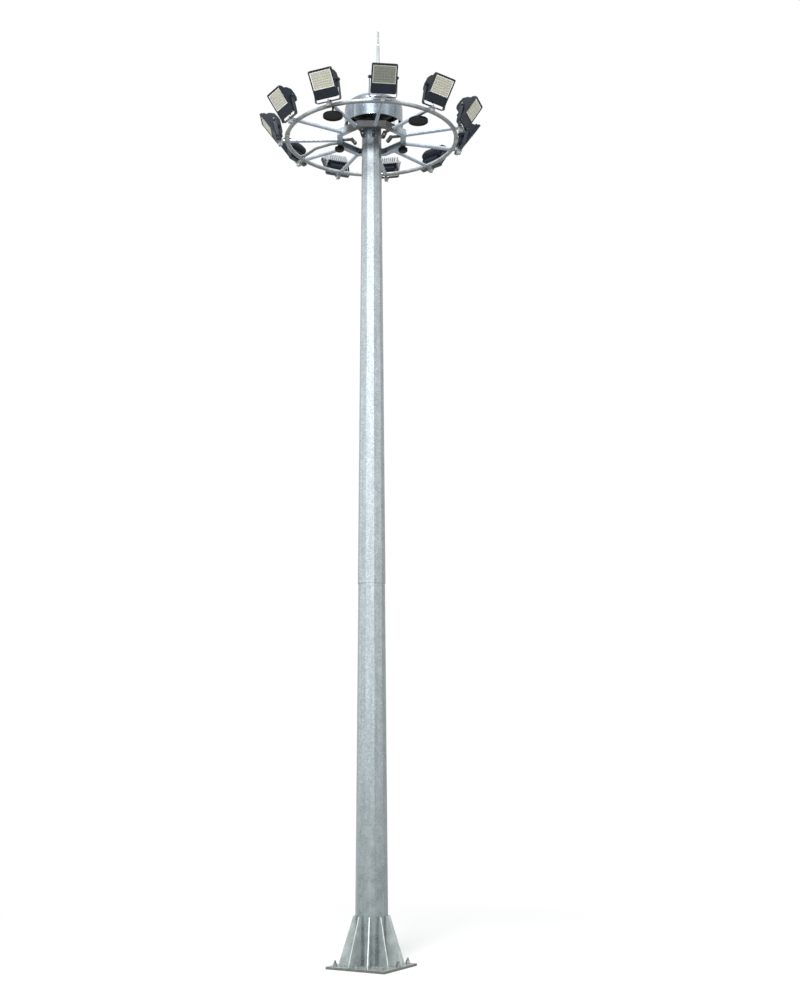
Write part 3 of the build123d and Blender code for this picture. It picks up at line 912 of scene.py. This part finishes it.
    def finish(self, body: Body | str, material: bpy.types.Material,
               smooth: float = 38.0, ride: bool = True) -> bpy.types.Object:
        """Turns the mesh into an object, shades it and sets it on its body.

        Args:
            body: The body that it rides on, or a lamp's body by its name.
            material: Its material.
            smooth: Edges under this many degrees are shaded smooth.
            ride: False leaves the riding to the caller.

        Returns:
            The finished object.
        """
        limit = math.radians(smooth)
        carrier = body.value if isinstance(body, Body) else body
        for face in self.bm.faces:
            face.smooth = True
        for edge in self.bm.edges:
            edge.smooth = edge.calc_face_angle(0.0) < limit
        mesh = bpy.data.meshes.new(self.name)
        self.bm.to_mesh(mesh)
        self.bm.free()
        mesh.materials.append(material)
        made = bpy.data.objects.new(self.name, mesh)
        bpy.context.scene.collection.objects.link(made)
        if ride:
            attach(made, carrier)
        LOG.info("%s: %d faces on %s", self.name, len(mesh.polygons), carrier)
        return made


def washer_profile(inner: float, outer: float, height: float) -> Profile:
    """Gives the closed profile of a flat washer that lies on its place.

    Args:
        inner: Radius of its hole.
        outer: Its outer radius.
        height: Its thickness.

    Returns:
        The profile's points, from the inside out.
    """
    ease = height * 0.2
    side = [(inner, 0.0), (outer, 0.0), (outer, height - ease)]
    return side + [(outer - ease, height), (inner, height)]


@dataclass
class MastFoot:
    """Anchor studs, nuts and welds at the foot of the mast."""

    finishes: Finishes
    corner: float = 0.283
    side: float = 0.320
    stud_size: float = 0.024
    stud_top: float = 0.086
    stud_sunk: float = 0.020
    washer: float = 0.004
    nut_across: float = 0.036
    nut: float = 0.0215
    lock_nut: float = 0.012
    nut_chamfer: float = 0.0018
    gusset_half: float = 0.006
    gusset_top: float = 0.533
    gusset_toe: float = 0.350
    weld: float = 0.008

    def anchors(self) -> list[Matrix]:
        """Returns the places of the anchor holes on the flange's top."""
        places = []
        for i in range(4):
            quarter = turn(90.0 * i, "Z")
            places.append(quarter @ shift(self.corner, self.corner, PLACES.flange_top))
            places.append(quarter @ shift(self.side, 0.0, PLACES.flange_top))
        return places

    def build(self) -> None:
        """Builds the studs with their nuts and washers, and the welds."""
        nuts = Piece("anchor_nuts")
        studs = Piece("anchor_studs")
        size = self.stud_size
        shown = self.stud_top - PLACES.flange_top
        for i, place in enumerate(self.anchors()):
            spin = turn(17.0 * i, "Z")
            lower = place @ shift(0.0, 0.0, self.washer) @ spin
            upper = lower @ shift(0.0, 0.0, self.nut + 0.0007) @ turn(11.0, "Z")
            nuts.turned(place, washer_profile(size * 0.54, size * 1.16, self.washer), 28,
                        closed=True)
            nuts.hexagon(lower, self.nut_across, self.nut, self.nut_chamfer)
            nuts.hexagon(upper, self.nut_across, self.lock_nut, self.nut_chamfer)
            studs.stud(place @ shift(0.0, 0.0, -self.stud_sunk), size, shown + self.stud_sunk)
        nuts.hardware(Body.MAST, self.finishes.anchor)
        studs.finish(Body.MAST, self.finishes.anchor)
        self.welds()

    def welds(self) -> None:
        """Builds the beads of the gussets and of the shaft's foot."""
        beads = Piece("foot_welds")
        cos_half = math.cos(math.pi / PLACES.shaft_sides)
        top = PLACES.flange_top
        for i in range(PLACES.shaft_sides):
            out, across, up = at(PLACES.facet(i)).to_3x3().col
            low_r = PLACES.shaft_corner(top) * cos_half
            high_r = PLACES.shaft_corner(self.gusset_top) * cos_half
            for side in (-1.0, 1.0):
                face = across * (self.gusset_half * side)
                low = out * low_r + face + up * top
                high = out * high_r + face + up * (self.gusset_top - 0.004)
                toe = out * (self.gusset_toe - 0.004) + face + up * top
                beads.bead(low, high, out, across * side, self.weld, i * 3.1 + side)
                beads.bead(low, toe, across * side, up, self.weld, i * 5.3 + side)
                edge = across * (math.tan(math.pi / PLACES.shaft_sides) * low_r * side)
                corner = out * low_r + edge + up * top
                beads.bead(low, corner, out, up, self.weld, i * 7.7 + side)
        beads.finish(Body.MAST, self.finishes.weld, 60.0)

    def dress(self) -> None:
        """Gives the foot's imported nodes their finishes."""
        looks = self.finishes
        looks.coat(looks.flange, "base_flange")
        looks.coat(looks.plate, "base_gussets")


@dataclass
class Shaft:
    """The two shaft sections, their long seams and the door at the rear."""

    finishes: Finishes
    joint: float = 4.10
    bottom: float = 0.54
    top: float = 9.598
    sleeve: float = 0.0053
    seam_width: float = 0.005
    seam_height: float = 0.0011
    seam_corners: tuple[int, ...] = (3, 8)
    seam_turn: float = 14.0
    door_angle: float = 113.2
    door_face: float = 0.1994
    door_bolts: tuple[float, ...] = (0.74, 1.17)

    def build(self) -> None:
        """Builds the long seams and the door's fastenings."""
        seams = Piece("shaft_long_seams")
        for grow, low, high in ((0.0, self.bottom, self.joint - 0.001),
                                (self.sleeve, self.joint + 0.002, self.top)):
            for corner in self.seam_corners:
                angle = PLACES.shaft_turn + 36.0 * corner + self.seam_turn
                self.long_seam(seams, angle, grow, low, high)
        seams.finish(Body.MAST, self.finishes.shaft, 60.0)
        bolts = Piece("door_bolts")
        for height in self.door_bolts:
            place = at(self.door_angle, self.door_face, height) @ turn(90.0, "Y")
            bolts.hexagon(place, 0.011, 0.006, 0.0008)
        bolts.hardware(Body.MAST, self.finishes.bolt)

    def long_seam(self, seams: Piece, angle: float, grow: float, low: float, high: float) -> None:
        """Adds one flat welded seam that runs up a facet.

        Args:
            seams: The piece that it joins.
            angle: Angle of the seam round the mast.
            grow: How far the section stands out from the lower one's surface.
            low: Height of its lower end.
            high: Height of its upper end.
        """
        middle = min((PLACES.facet(i) for i in range(PLACES.shaft_sides)),
                     key=lambda a: abs((a - angle + 180.0) % 360.0 - 180.0))
        off = math.radians((angle - middle + 180.0) % 360.0 - 180.0)
        cos_half = math.cos(math.pi / PLACES.shaft_sides)
        made = bmesh.ops.create_grid(seams.bm, x_segments=600, y_segments=4, size=0.5)
        turn_to = at(middle).to_3x3()
        for v in made["verts"]:
            height = low + (high - low) * (v.co.x + 0.5)
            across = v.co.y * self.seam_width
            flat = PLACES.shaft_corner(height) * cos_half + grow
            rough = 1.0 + 0.4 * noise.noise(Vector((angle, height * 40.0, 0.0)))
            swell = self.seam_height * math.cos(math.pi * v.co.y) * rough
            v.co = turn_to @ Vector((flat + swell - 0.0002, math.tan(off) * flat + across, height))

    def dress(self) -> None:
        """Gives the shaft's and door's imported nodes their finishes."""
        looks = self.finishes
        looks.coat(looks.shaft, "shaft_lower", "shaft_upper")
        looks.coat(looks.plate, "door_frame", "door_cover")
        looks.coat(looks.dark_steel, "winch")


@dataclass
class MastHead:
    """The canopy's seams and rim, and the fastenings under it."""

    finishes: Finishes
    radius: float = 0.345
    bottom: float = 9.570
    open_from: float = 59.9
    open_to: float = 183.9
    rolled_edge: float = 0.0042
    seams: tuple[float, ...] = (-45.4, 47.3)
    skirt_bolts: tuple[float, ...] = (-64.0, -20.0, 25.0, 74.0)
    rod_angle: float = 30.0
    rod_radius: float = 0.077
    rod_bolt_circle: float = 0.036
    carrier_top: float = 9.866
    cheek_radius: float = 0.195
    cheek_half: float = 0.027
    cap_radius: float = 0.141
    cap_height: float = 9.612
    bolt_size: float = 0.008

    def build(self) -> None:
        """Builds the canopy's trim and the head's bolts."""
        self.canopy_rim()
        self.canopy_seams()
        bolts = Piece("head_bolts")
        for i in range(4):
            place = at(self.rod_angle, self.rod_radius, self.carrier_top)
            seat = place @ turn(45.0 + 90.0 * i, "Z") @ shift(self.rod_bolt_circle, 0.0, 0.0)
            bolts.bolt(seat, self.bolt_size)
        for angle in PLACES.rope_angles:
            pin = at(angle, self.cheek_radius, PLACES.pulley_height)
            for seat in both_sides(pin, self.cheek_half):
                bolts.turned(seat @ shift(0.0, 0.0, -0.006), washer_profile(0.0122, 0.0175, 0.003),
                             20, closed=True)
            for spread in (-12.6, 12.6):
                seat = at(angle + 60.0 + spread, self.cap_radius, self.cap_height)
                bolts.bolt(seat, self.bolt_size)
        bolts.hardware(Body.MAST, self.finishes.bolt)

    def canopy_rim(self) -> None:
        """Builds the rolled edge along the skirt's lower rim."""
        rim = Piece("canopy_rim")
        circle = bmesh.ops.create_circle(rim.bm, cap_ends=True, segments=10,
                                         radius=self.rolled_edge)
        edge = shift(self.radius - 0.0015, 0.0, self.bottom) @ turn(90.0, "X")
        bmesh.ops.transform(rim.bm, matrix=turn(self.open_to + 0.5, "Z") @ edge,
                            verts=circle["verts"])
        sweep = 360.0 - (self.open_to - self.open_from) - 1.0
        bmesh.ops.spin(rim.bm, geom=rim.faces(circle["verts"]), cent=(0.0, 0.0, 0.0),
                       axis=(0.0, 0.0, 1.0), dvec=(0.0, 0.0, 0.0), angle=math.radians(sweep),
                       steps=96)
        bmesh.ops.recalc_face_normals(rim.bm, faces=rim.bm.faces[:])
        bmesh.ops.transform(rim.bm, matrix=PLACES.canopy(), verts=rim.bm.verts[:])
        rim.finish(Body.MAST, self.finishes.sheet)

    def canopy_seams(self) -> None:
        """Builds the lapped seams down the skirt, with their rivets and bolts."""
        straps = Piece("canopy_seams")
        rivets = Piece("canopy_rivets")
        for bearing in self.seams:
            angle = PLACES.photo_bearing + bearing
            self.strap(straps, angle)
            for i in range(6):
                height = self.bottom + 0.020 + i * 0.032
                place = PLACES.canopy() @ at(angle, self.radius + 0.0015, height) @ turn(90.0, "Y")
                rivets.turned(place, [(0.0, 0.0022), (0.003, 0.0018), (0.0045, 0.0)], 12)
        for bearing in self.skirt_bolts:
            seat = at(PLACES.photo_bearing + bearing, self.radius, self.bottom + 0.105)
            rivets.bolt(PLACES.canopy() @ seat @ turn(90.0, "Y"), self.bolt_size)
        straps.finish(Body.MAST, self.finishes.strap)
        rivets.hardware(Body.MAST, self.finishes.bolt)

    def strap(self, straps: Piece, angle: float) -> None:
        """Adds one bent strap over a seam of the skirt.

        Args:
            straps: The piece that it joins.
            angle: Angle of its middle.
        """
        made = bmesh.ops.create_grid(straps.bm, x_segments=8, y_segments=2, size=0.5)
        thick = bmesh.ops.extrude_face_region(straps.bm, geom=straps.faces(made["verts"]))
        lifted = {v for v in thick["geom"] if isinstance(v, bmesh.types.BMVert)}
        for v in straps.bm.verts:
            if v in lifted or v in made["verts"]:
                spread = math.radians(angle) + v.co.x * 0.030 / self.radius
                radius = self.radius + (0.0016 if v in lifted else 0.0001)
                height = self.bottom + 0.006 + (v.co.y + 0.5) * 0.190
                across, along = radius * math.cos(spread), radius * math.sin(spread)
                v.co = PLACES.canopy() @ Vector((across, along, height))
        bmesh.ops.recalc_face_normals(straps.bm, faces=straps.bm.faces[:])

    def dress(self) -> None:
        """Gives the head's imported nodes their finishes."""
        looks = self.finishes
        # Painted shade: the head frame under the canopy takes the dark zinc.
        looks.coat(looks.shade_zinc, "head_frame")
        looks.coat(looks.sheet, "head_canopy")
        looks.coat(looks.dark_steel, "rope_pulleys")
        looks.coat(looks.pipe, "lightning_rod")


@dataclass
class HoistRopes:
    """Stranded ropes from the ring's sockets up and over the pulleys."""

    finishes: Finishes
    inner: float = 0.085
    low: float = 9.5143
    radius: float = 0.004
    strands: int = 6
    lay: float = 0.052
    steps_up: int = 60
    steps_over: int = 84
    steps_down: int = 56

    def build(self) -> None:
        """Builds each rope's outer run and its run over the pulley."""
        far, top = PLACES.rope_radius, PLACES.pulley_height
        middle = (far + self.inner) / 2
        wrap = (far - self.inner) / 2
        rise = top - self.low
        over = Piece("hoist_ropes_over_pulleys")
        for index, angle in enumerate(PLACES.rope_angles):
            place = at(angle)
            outer = Piece(f"hoist_rope_{index + 1}_outer_run")
            line = [place @ Vector((far, 0.0, self.low + rise * i / self.steps_up))
                    for i in range(self.steps_up + 1)]
            self.rope(outer, line, place)
            made = outer.finish(Body.CARRIAGE, self.finishes.rope, 70.0, ride=False)
            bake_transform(made)
            arc = []
            for i in range(self.steps_over + 1):
                a = math.pi * i / self.steps_over
                arc.append(Vector((middle + wrap * math.cos(a), 0.0, top + wrap * math.sin(a))))
            for i in range(1, self.steps_down + 1):
                arc.append(Vector((self.inner, 0.0, top - rise * i / self.steps_down)))
            self.rope(over, [place @ p for p in arc], place)
        made = over.finish(Body.MAST, self.finishes.rope, 70.0)
        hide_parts("hoist_ropes")

    def dress(self) -> None:
        """Gives the hidden ropes their finish."""
        self.finishes.coat(self.finishes.rope, "inner_hoist_ropes")

    def rope(self, piece: Piece, line: list[Vector], place: Matrix) -> None:
        """Adds a rope of twisted strands along a line.

        Args:
            piece: The piece that it joins.
            line: Points along its middle.
            place: The frame whose Y axis stands square to the line's plane.
        """
        sides = self.strands * 4
        side = (place.to_3x3() @ Vector((0.0, 1.0, 0.0))).normalized()
        circle = bmesh.ops.create_circle(piece.bm, cap_ends=True, segments=sides,
                                         radius=self.radius)
        ring = circle["verts"]
        edges = list({e for v in ring for e in v.link_edges})
        travelled = 0.0
        for i, point in enumerate(line):
            forward = (line[min(i + 1, len(line) - 1)] - line[max(i - 1, 0)]).normalized()
            other = side.cross(forward).normalized()
            if i:
                travelled += (point - line[i - 1]).length
                made = bmesh.ops.extrude_edge_only(piece.bm, edges=edges)["geom"]
                fresh = [g for g in made if isinstance(g, bmesh.types.BMVert)]
                order = {e.other_vert(v): v for v in fresh for e in v.link_edges
                         if e.other_vert(v) in ring_set}
                ring = [order[v] for v in ring]
                edges = [g for g in made if isinstance(g, bmesh.types.BMEdge)
                         and all(v in order.values() for v in g.verts)]
            ring_set = set(ring)
            twist = math.tau * travelled / self.lay
            for k, v in enumerate(ring):
                a = math.tau * k / sides
                lobe = self.radius * (0.80 + 0.20 * abs(math.sin(a * self.strands / 2)))
                aside, ahead = lobe * math.cos(a + twist), lobe * math.sin(a + twist)
                v.co = point + side * aside + other * ahead
        bmesh.ops.contextual_create(piece.bm, geom=edges)


@dataclass
class LampRing:
    """Welds, couplings and fastenings of the ring that is lowered."""

    finishes: Finishes
    couplings_at: tuple[float, ...] = (2.5, 8.32)
    sleeve_half: float = 0.055
    sleeve_grow: float = 0.0045
    sleeve_gap: float = 0.0003
    guide_angles: tuple[float, ...] = (-88.8, -53.1, -17.8, 18.8, 140.9, 205.2)
    roller_radius: float = 0.198
    roller_height: float = 9.3665
    fork_half: float = 0.0215
    bar_top: float = -0.213
    lug_thick: float = 0.010
    socket_nut: float = 0.034
    weld_leg: float = 0.0055
    flat: float = 5.0

    def build(self) -> None:
        """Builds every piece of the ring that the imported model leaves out."""
        self.spoke_welds()
        self.couplings()
        self.seat_bolts()
        self.guide_bolts()
        self.rope_grips()

    def saddle(self, piece: Piece, place: Matrix, pipe: float, onto: float, seed: float,
               slant: float = 0.0) -> None:
        """Adds a weld bead round a pipe's end that meets another pipe.

        Args:
            piece: The piece that it joins.
            place: The end's middle, with Z along the pipe towards the other pipe's axis.
            pipe: Radius of the pipe that ends.
            onto: Radius of the pipe that it meets, whose axis lies along the place's Y, or flat.
            seed: Place in the noise that roughens the bead.
            slant: Angle in radians between the pipe and the normal of a flat that it meets.
        """
        leg = self.weld_leg
        profile = [(pipe - 0.001, -leg), (pipe + leg * 0.55, -leg * 0.45), (pipe + leg, 0.002),
                   (pipe - 0.001, 0.003)]
        fresh = piece.turned(Matrix.Identity(4), profile, 36, closed=True)
        for v in fresh:
            around = math.atan2(v.co.y, v.co.x)
            grain = noise.noise(Vector((seed, around * 3.0, 0.0)))
            rough = 1.0 + 0.05 * math.sin(around * 22.0) + 0.10 * grain
            radial = math.hypot(v.co.x, v.co.y)
            v.co.x *= 1.0 + (rough - 1.0) * (radial - pipe) / leg
            v.co.y *= 1.0 + (rough - 1.0) * (radial - pipe) / leg
            high = min(abs(v.co.x), onto * 0.98)
            v.co.z += onto - math.sqrt(onto * onto - high * high) - v.co.y * math.tan(slant)
        bmesh.ops.transform(piece.bm, matrix=place, verts=fresh)

    def spoke_welds(self) -> None:
        """Builds the beads at both ends of every spoke and lamp stub."""
        beads = Piece("ring_welds")
        ring, pipe = PLACES.ring_radius, PLACES.ring_pipe
        for k in range(PLACES.stations):
            base = at(PLACES.station(k), 0.0, PLACES.ring_height)
            outward = base @ shift(ring - pipe, 0.0, 0.0) @ turn(90.0, "Y")
            inward = base @ shift(ring + pipe, 0.0, 0.0) @ turn(-90.0, "Y")
            slant = PLACES.inner_slant(PLACES.station(k))
            foot = base @ shift(PLACES.inner_flat / math.cos(slant), 0.0, 0.0) @ turn(-90.0, "Y")
            self.saddle(beads, outward, PLACES.spoke_pipe, pipe, k * 1.7)
            self.saddle(beads, inward, PLACES.spoke_pipe, pipe, k * 2.9)
            self.saddle(beads, foot, PLACES.spoke_pipe, self.flat, k * 4.3, slant)
        beads.finish(Body.CARRIAGE, self.finishes.weld, 50.0)

    def couplings(self) -> None:
        """Builds the bolted sleeves that join the ring's two halves."""
        sleeves = Piece("ring_couplings")
        bolts = Piece("ring_coupling_bolts")
        inner, outer = PLACES.ring_pipe + self.sleeve_gap, PLACES.ring_pipe + self.sleeve_grow
        length = 2 * self.sleeve_half
        profile = [(inner, 0.0), (outer, 0.0), (outer, length), (inner, length)]
        for k in self.couplings_at:
            middle = at(PLACES.station(k), PLACES.ring_radius, PLACES.ring_height)
            place = middle @ turn(90.0, "X") @ shift(0.0, 0.0, -self.sleeve_half)
            sleeves.turned(place, profile, 32, closed=True)
            for along in (0.026, 0.084):
                for side in (-1.0, 1.0):
                    seat = place @ shift(0.0, 0.0, along) @ turn(90.0 * side, "X")
                    bolts.bolt(seat @ shift(0.0, 0.0, PLACES.ring_pipe + 0.004), 0.010)
        sleeves.hardware(Body.CARRIAGE, self.finishes.pipe)
        bolts.hardware(Body.CARRIAGE, self.finishes.bolt)

    def seat_bolts(self) -> None:
        """Builds the bolt that clamps each stirrup to its seat."""
        bolts = Piece("stirrup_seat_bolts")
        for k in range(PLACES.stations):
            bar_top = PLACES.stirrup(k) @ shift(0.0, 0.0, self.bar_top)
            bolts.turned(bar_top, washer_profile(0.006, 0.016, 0.003), 24, closed=True)
            bolts.hexagon(bar_top @ shift(0.0, 0.0, 0.003) @ turn(13.0 * k, "Z"), 0.019, 0.0105)
            bolts.stud(bar_top @ shift(0.0, 0.0, 0.0135), 0.012, 0.012, 10)
        bolts.hardware(Body.CARRIAGE, self.finishes.bolt)

    def guide_bolts(self) -> None:
        """Builds the nuts on the roller pins."""
        bolts = Piece("guide_roller_nuts")
        for angle in self.guide_angles:
            pin = at(angle, self.roller_radius, self.roller_height)
            for seat in both_sides(pin, self.fork_half):
                bolts.hexagon(seat, 0.016, 0.0055, 0.0008)
        bolts.hardware(Body.CARRIAGE, self.finishes.bolt)

    def rope_grips(self) -> None:
        """Builds the collar and lock nut where each rope enters its socket."""
        grips = Piece("rope_socket_nuts")
        for angle in PLACES.rope_angles:
            socket = at(angle, PLACES.rope_radius, PLACES.inner_top)
            under = socket @ shift(0.0, 0.0, -self.lug_thick) @ turn(180.0, "X")
            grips.hexagon(socket, self.socket_nut, 0.010)
            grips.hexagon(under, self.socket_nut, 0.009)
        grips.hardware(Body.CARRIAGE, self.finishes.bolt)

    def dress(self) -> None:
        """Gives the ring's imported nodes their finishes."""
        looks = self.finishes
        looks.coat(looks.pipe, "outer_ring", "lamp_seats")
        looks.coat(looks.spoke, "spokes")
        # Painted shade: the guide arms under the canopy take the dark zinc.
        looks.coat(looks.shade_zinc, "guide_arms")
        looks.coat(looks.channel, "inner_ring")
        looks.coat(looks.nylon, "guide_rollers")
        looks.coat(looks.stirrup, "lamp_stirrups")
        looks.coat(looks.fitting, "spoke_fittings")
        looks.coat(looks.conduit, "feed_conduit")


@dataclass
class Floodlight:
    """One lamp's lenses, screws, pivot hardware and cable gland.

    The near lamp's window and lenses carry painted shade, and the two lamps opposite carry a
    painted pale sheen on their heat sinks.
    """

    finishes: Finishes
    index: int
    columns: int = 8
    rows: int = 6
    lens_across: float = 0.0292
    lens_up: float = 0.0278
    lens_middle: float = 0.045
    lens_seat: float = 0.0889
    face: float = 0.095
    lens_size: float = 0.0232
    lens_swell: tuple[tuple[float, float], ...] = ((0.0, 0.0046), (0.38, 0.0041), (0.70, 0.0026),
                                                   (0.92, 0.0008), (1.0, 0.0))
    middle_gap: float = 0.006
    screws_across: float = 0.1375
    screws_up: tuple[float, ...] = (-0.1535, -0.055, 0.045, 0.1515)
    knob_face: float = 0.1663
    gland_front: float = 0.042
    gland_up: float = -0.1462
    # Lamps whose windows and lenses carry painted shade.
    shaded: tuple[int, ...] = (0,)
    # Lamps whose heat sinks carry a painted pale sheen.
    sky_lit: tuple[int, ...] = (5, 6)

    @property
    def name(self) -> str:
        """Returns the lamp's body name."""
        return f"lamp_{self.index + 1:02d}"

    @property
    def place(self) -> Matrix:
        """Returns the lamp's own frame."""
        return PLACES.lamp(self.index)

    def build(self) -> None:
        """Builds the lamp's own small pieces."""
        self.lenses()
        self.screws()
        self.pivots()
        self.gland()

    def lenses(self) -> None:
        """Builds the two blocks of lenses over the light sources."""
        lenses = Piece(f"{self.name}_lenses")
        half = self.lens_size / 2
        profile = [(half * share, height) for share, height in self.lens_swell]
        for column in range(self.columns):
            for row in range(self.rows):
                across = (column - (self.columns - 1) / 2) * self.lens_across
                across += self.middle_gap / 2 * (1.0 if across > 0 else -1.0)
                up = self.lens_middle + (row - (self.rows - 1) / 2) * self.lens_up
                seat = self.place @ shift(self.lens_seat, across, up) @ turn(90.0, "Y")
                lenses.turned(seat, profile, 14)
        # Painted shade: the shaded lamps take the darker lens plastic.
        lens = self.finishes.shaded_lens if self.index in self.shaded else self.finishes.lens
        lenses.finish(self.name, lens, 60.0)

    def screws(self) -> None:
        """Builds the screws round the front frame."""
        screws = Piece(f"{self.name}_frame_screws")
        profile = [(0.0, 0.0009), (0.0018, 0.0009), (0.0019, 0.0016), (0.0028, 0.0014),
                   (0.0034, 0.0)]
        for across in (-self.screws_across, self.screws_across):
            for up in self.screws_up:
                seat = self.place @ shift(self.face, across, up) @ turn(90.0, "Y")
                screws.turned(seat, profile, 12)
        screws.finish(self.name, self.finishes.bolt, 30.0)

    def pivots(self) -> None:
        """Builds the bolt heads on their washers outside the stirrup."""
        heads = Piece(f"{self.name}_pivot_bolts")
        for outside in both_sides(self.place, self.knob_face):
            heads.hexagon(outside, 0.019, 0.0075)
            heads.turned(outside @ shift(0.0, 0.0, -0.0002), washer_profile(0.009, 0.0125, 0.0012),
                         20, closed=True)
        heads.finish(self.name, self.finishes.dark_steel, 30.0)

    def gland(self) -> None:
        """Builds the cable gland under the driver box."""
        gland = Piece(f"{self.name}_cable_gland")
        seat = self.place @ shift(self.gland_front, 0.0, self.gland_up) @ turn(180.0, "X")
        gland.hexagon(seat, 0.022, 0.008, 0.001)
        nut = [(0.0095, 0.0), (0.0095, 0.009), (0.0080, 0.013), (0.0055, 0.015), (0.0, 0.015)]
        gland.turned(seat @ shift(0.0, 0.0, 0.008), nut, 20)
        gland.finish(self.name, self.finishes.nylon, 30.0)

    def dress(self) -> None:
        """Gives the lamp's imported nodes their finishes."""
        board = LightBoard(f"light_board_{self.index + 1:02d}", self.place)
        # Painted shade: the shaded lamps' boards are darkened.
        if self.index in self.shaded:
            board = replace(board, cream=(0.17, 0.178, 0.14), line=(0.09, 0.095, 0.08),
                            border=(0.44, 0.45, 0.40))
        paint = HousingPaint(f"housing_paint_{self.index + 1:02d}", place=self.place)
        # Painted sheen: these lamps' heat sinks are pale.
        if self.index in self.sky_lit:
            paint = replace(paint, sink=(0.40, 0.43, 0.45), sink_low=-0.070)
        self.finishes.coat(paint.material(), f"{self.name}_housing")
        self.finishes.coat(board.material(), f"{self.name}_window")


@dataclass(frozen=True)
class Softbox:
    """A soft lamp with a flat square-cornered face.

    Attributes:
        name: The lamp's name.
        bearing: Degrees round from the photograph's view, right being positive.
        distance: Distance from the mast in metres.
        height: Height of its middle.
        target: Height on the mast's axis that it points at.
        size: Its width and height in metres.
        brightness: How bright its face looks, where 1 is a white surface.
        colour: Its colour.
    """

    name: str
    bearing: float
    distance: float
    height: float
    target: float
    size: tuple[float, float]
    brightness: float
    colour: Colour = (0.93, 0.965, 1.0)

    def build(self) -> None:
        """Stands the lamp in the scene."""
        place = from_photo(self.bearing, self.distance, self.height)
        data = bpy.data.lights.new(self.name, "AREA")
        data.shape = "RECTANGLE"
        data.size, data.size_y = self.size
        data.energy = self.brightness * math.pi * self.size[0] * self.size[1]
        data.color = self.colour
        box = bpy.data.objects.new(self.name, data)
        box.location = place
        box.rotation_mode = "QUATERNION"
        toward = Vector((0.0, 0.0, self.target)) - place
        box.rotation_quaternion = toward.to_track_quat("-Z", "Y")
        bpy.context.scene.collection.objects.link(box)


@dataclass
class Studio:
    """The pale floor, the soft lights and the camera at the photograph's angle."""

    camera_distance: float = 15.41
    camera_height: float = 2.197
    pitch: float = 10.5
    lens: float = 49.97
    sensor: float = 36.0
    sideways: float = 0.02836
    sight: tuple[float, float] = (0.1, 2000.0)
    floor_size: float = 400.0
    level_light: float = 0.50
    level_colour: Colour = (0.92, 0.96, 1.0)
    softboxes: tuple[Softbox, ...] = (
        Softbox("key_softbox", -12.0, 13.2, 29.3, 9.3, (3.0, 3.0), 250.0, (1.0, 0.99, 0.965)),
        Softbox("front_softbox", -14.0, 20.0, 16.8, 9.3, (10.0, 14.0), 3.9),
        Softbox("low_front_softbox", -14.0, 20.0, 5.2, 3.0, (8.0, 8.0), 2.5),
        Softbox("left_softbox", -84.0, 18.0, 9.3, 6.0, (7.0, 18.0), 1.7),
        Softbox("right_softbox", 52.0, 18.0, 9.3, 6.0, (5.0, 18.0), 1.6),
    )

    def floor(self) -> None:
        """Builds the floor."""
        bm = bmesh.new()
        bmesh.ops.create_grid(bm, x_segments=1, y_segments=1, size=self.floor_size)
        mesh = bpy.data.meshes.new("studio_floor")
        bm.to_mesh(mesh)
        bm.free()
        mesh.materials.append(StudioWhite().material())
        ground = bpy.data.objects.new("studio_floor", mesh)
        bpy.context.scene.collection.objects.link(ground)

    def world(self) -> None:
        """Sets the white background and the level light round the object."""
        world = bpy.data.worlds.new("studio")
        world.use_nodes = True
        make = NodeGraph(world.node_tree)
        mix = make.put("ShaderNodeMixShader")
        make.link(make.seen(), mix.inputs["Fac"])
        for slot, colour, strength in ((1, self.level_colour, self.level_light),
                                       (2, (1.0, 1.0, 1.0), 1.0)):
            plain = make.put("ShaderNodeBackground")
            plain.inputs["Color"].default_value = (*colour, 1.0)
            plain.inputs["Strength"].default_value = strength
            make.link(plain.outputs["Background"], mix.inputs[slot])
        make.link(mix.outputs["Shader"], make.put("ShaderNodeOutputWorld").inputs["Surface"])
        bpy.context.scene.world = world

    def camera(self) -> None:
        """Stands the camera where the photograph was taken from."""
        data = bpy.data.cameras.new("photo_camera")
        data.lens = self.lens
        data.sensor_fit = "AUTO"
        data.sensor_width = self.sensor
        data.shift_x = self.sideways
        data.clip_start, data.clip_end = self.sight
        seat = bpy.data.objects.new("photo_camera", data)
        seat.location = from_photo(0.0, self.camera_distance, self.camera_height)
        forward = -seat.location.copy()
        forward.z = 0.0
        forward.normalize()
        forward.z = math.tan(math.radians(self.pitch))
        seat.rotation_mode = "QUATERNION"
        seat.rotation_quaternion = forward.to_track_quat("-Z", "Y")
        bpy.context.scene.collection.objects.link(seat)
        bpy.context.scene.camera = seat

    def build(self) -> None:
        """Builds the whole studio."""
        self.floor()
        self.world()
        for softbox in self.softboxes:
            softbox.build()
        self.camera()
        bpy.context.scene.view_settings.view_transform = "Standard"


class Assembly(Protocol):
    """A sub-assembly of the tower, as main() builds it."""

    def build(self) -> None:
        """Builds its new pieces."""

    def dress(self) -> None:
        """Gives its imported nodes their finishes."""


def main() -> None:
    """Builds the studio and dresses the whole tower in order."""
    logging.basicConfig(level=logging.INFO, format="%(name)s: %(message)s")
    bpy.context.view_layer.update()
    Studio().build()
    finishes = Finishes()
    parts: list[Assembly] = [MastFoot(finishes), Shaft(finishes), MastHead(finishes),
                             HoistRopes(finishes), LampRing(finishes)]
    parts += [Floodlight(finishes, k) for k in range(PLACES.stations)]
    for part in parts:
        part.build()
        part.dress()
        LOG.info("%s is done", type(part).__name__)


if __name__ == "__main__":
    main()
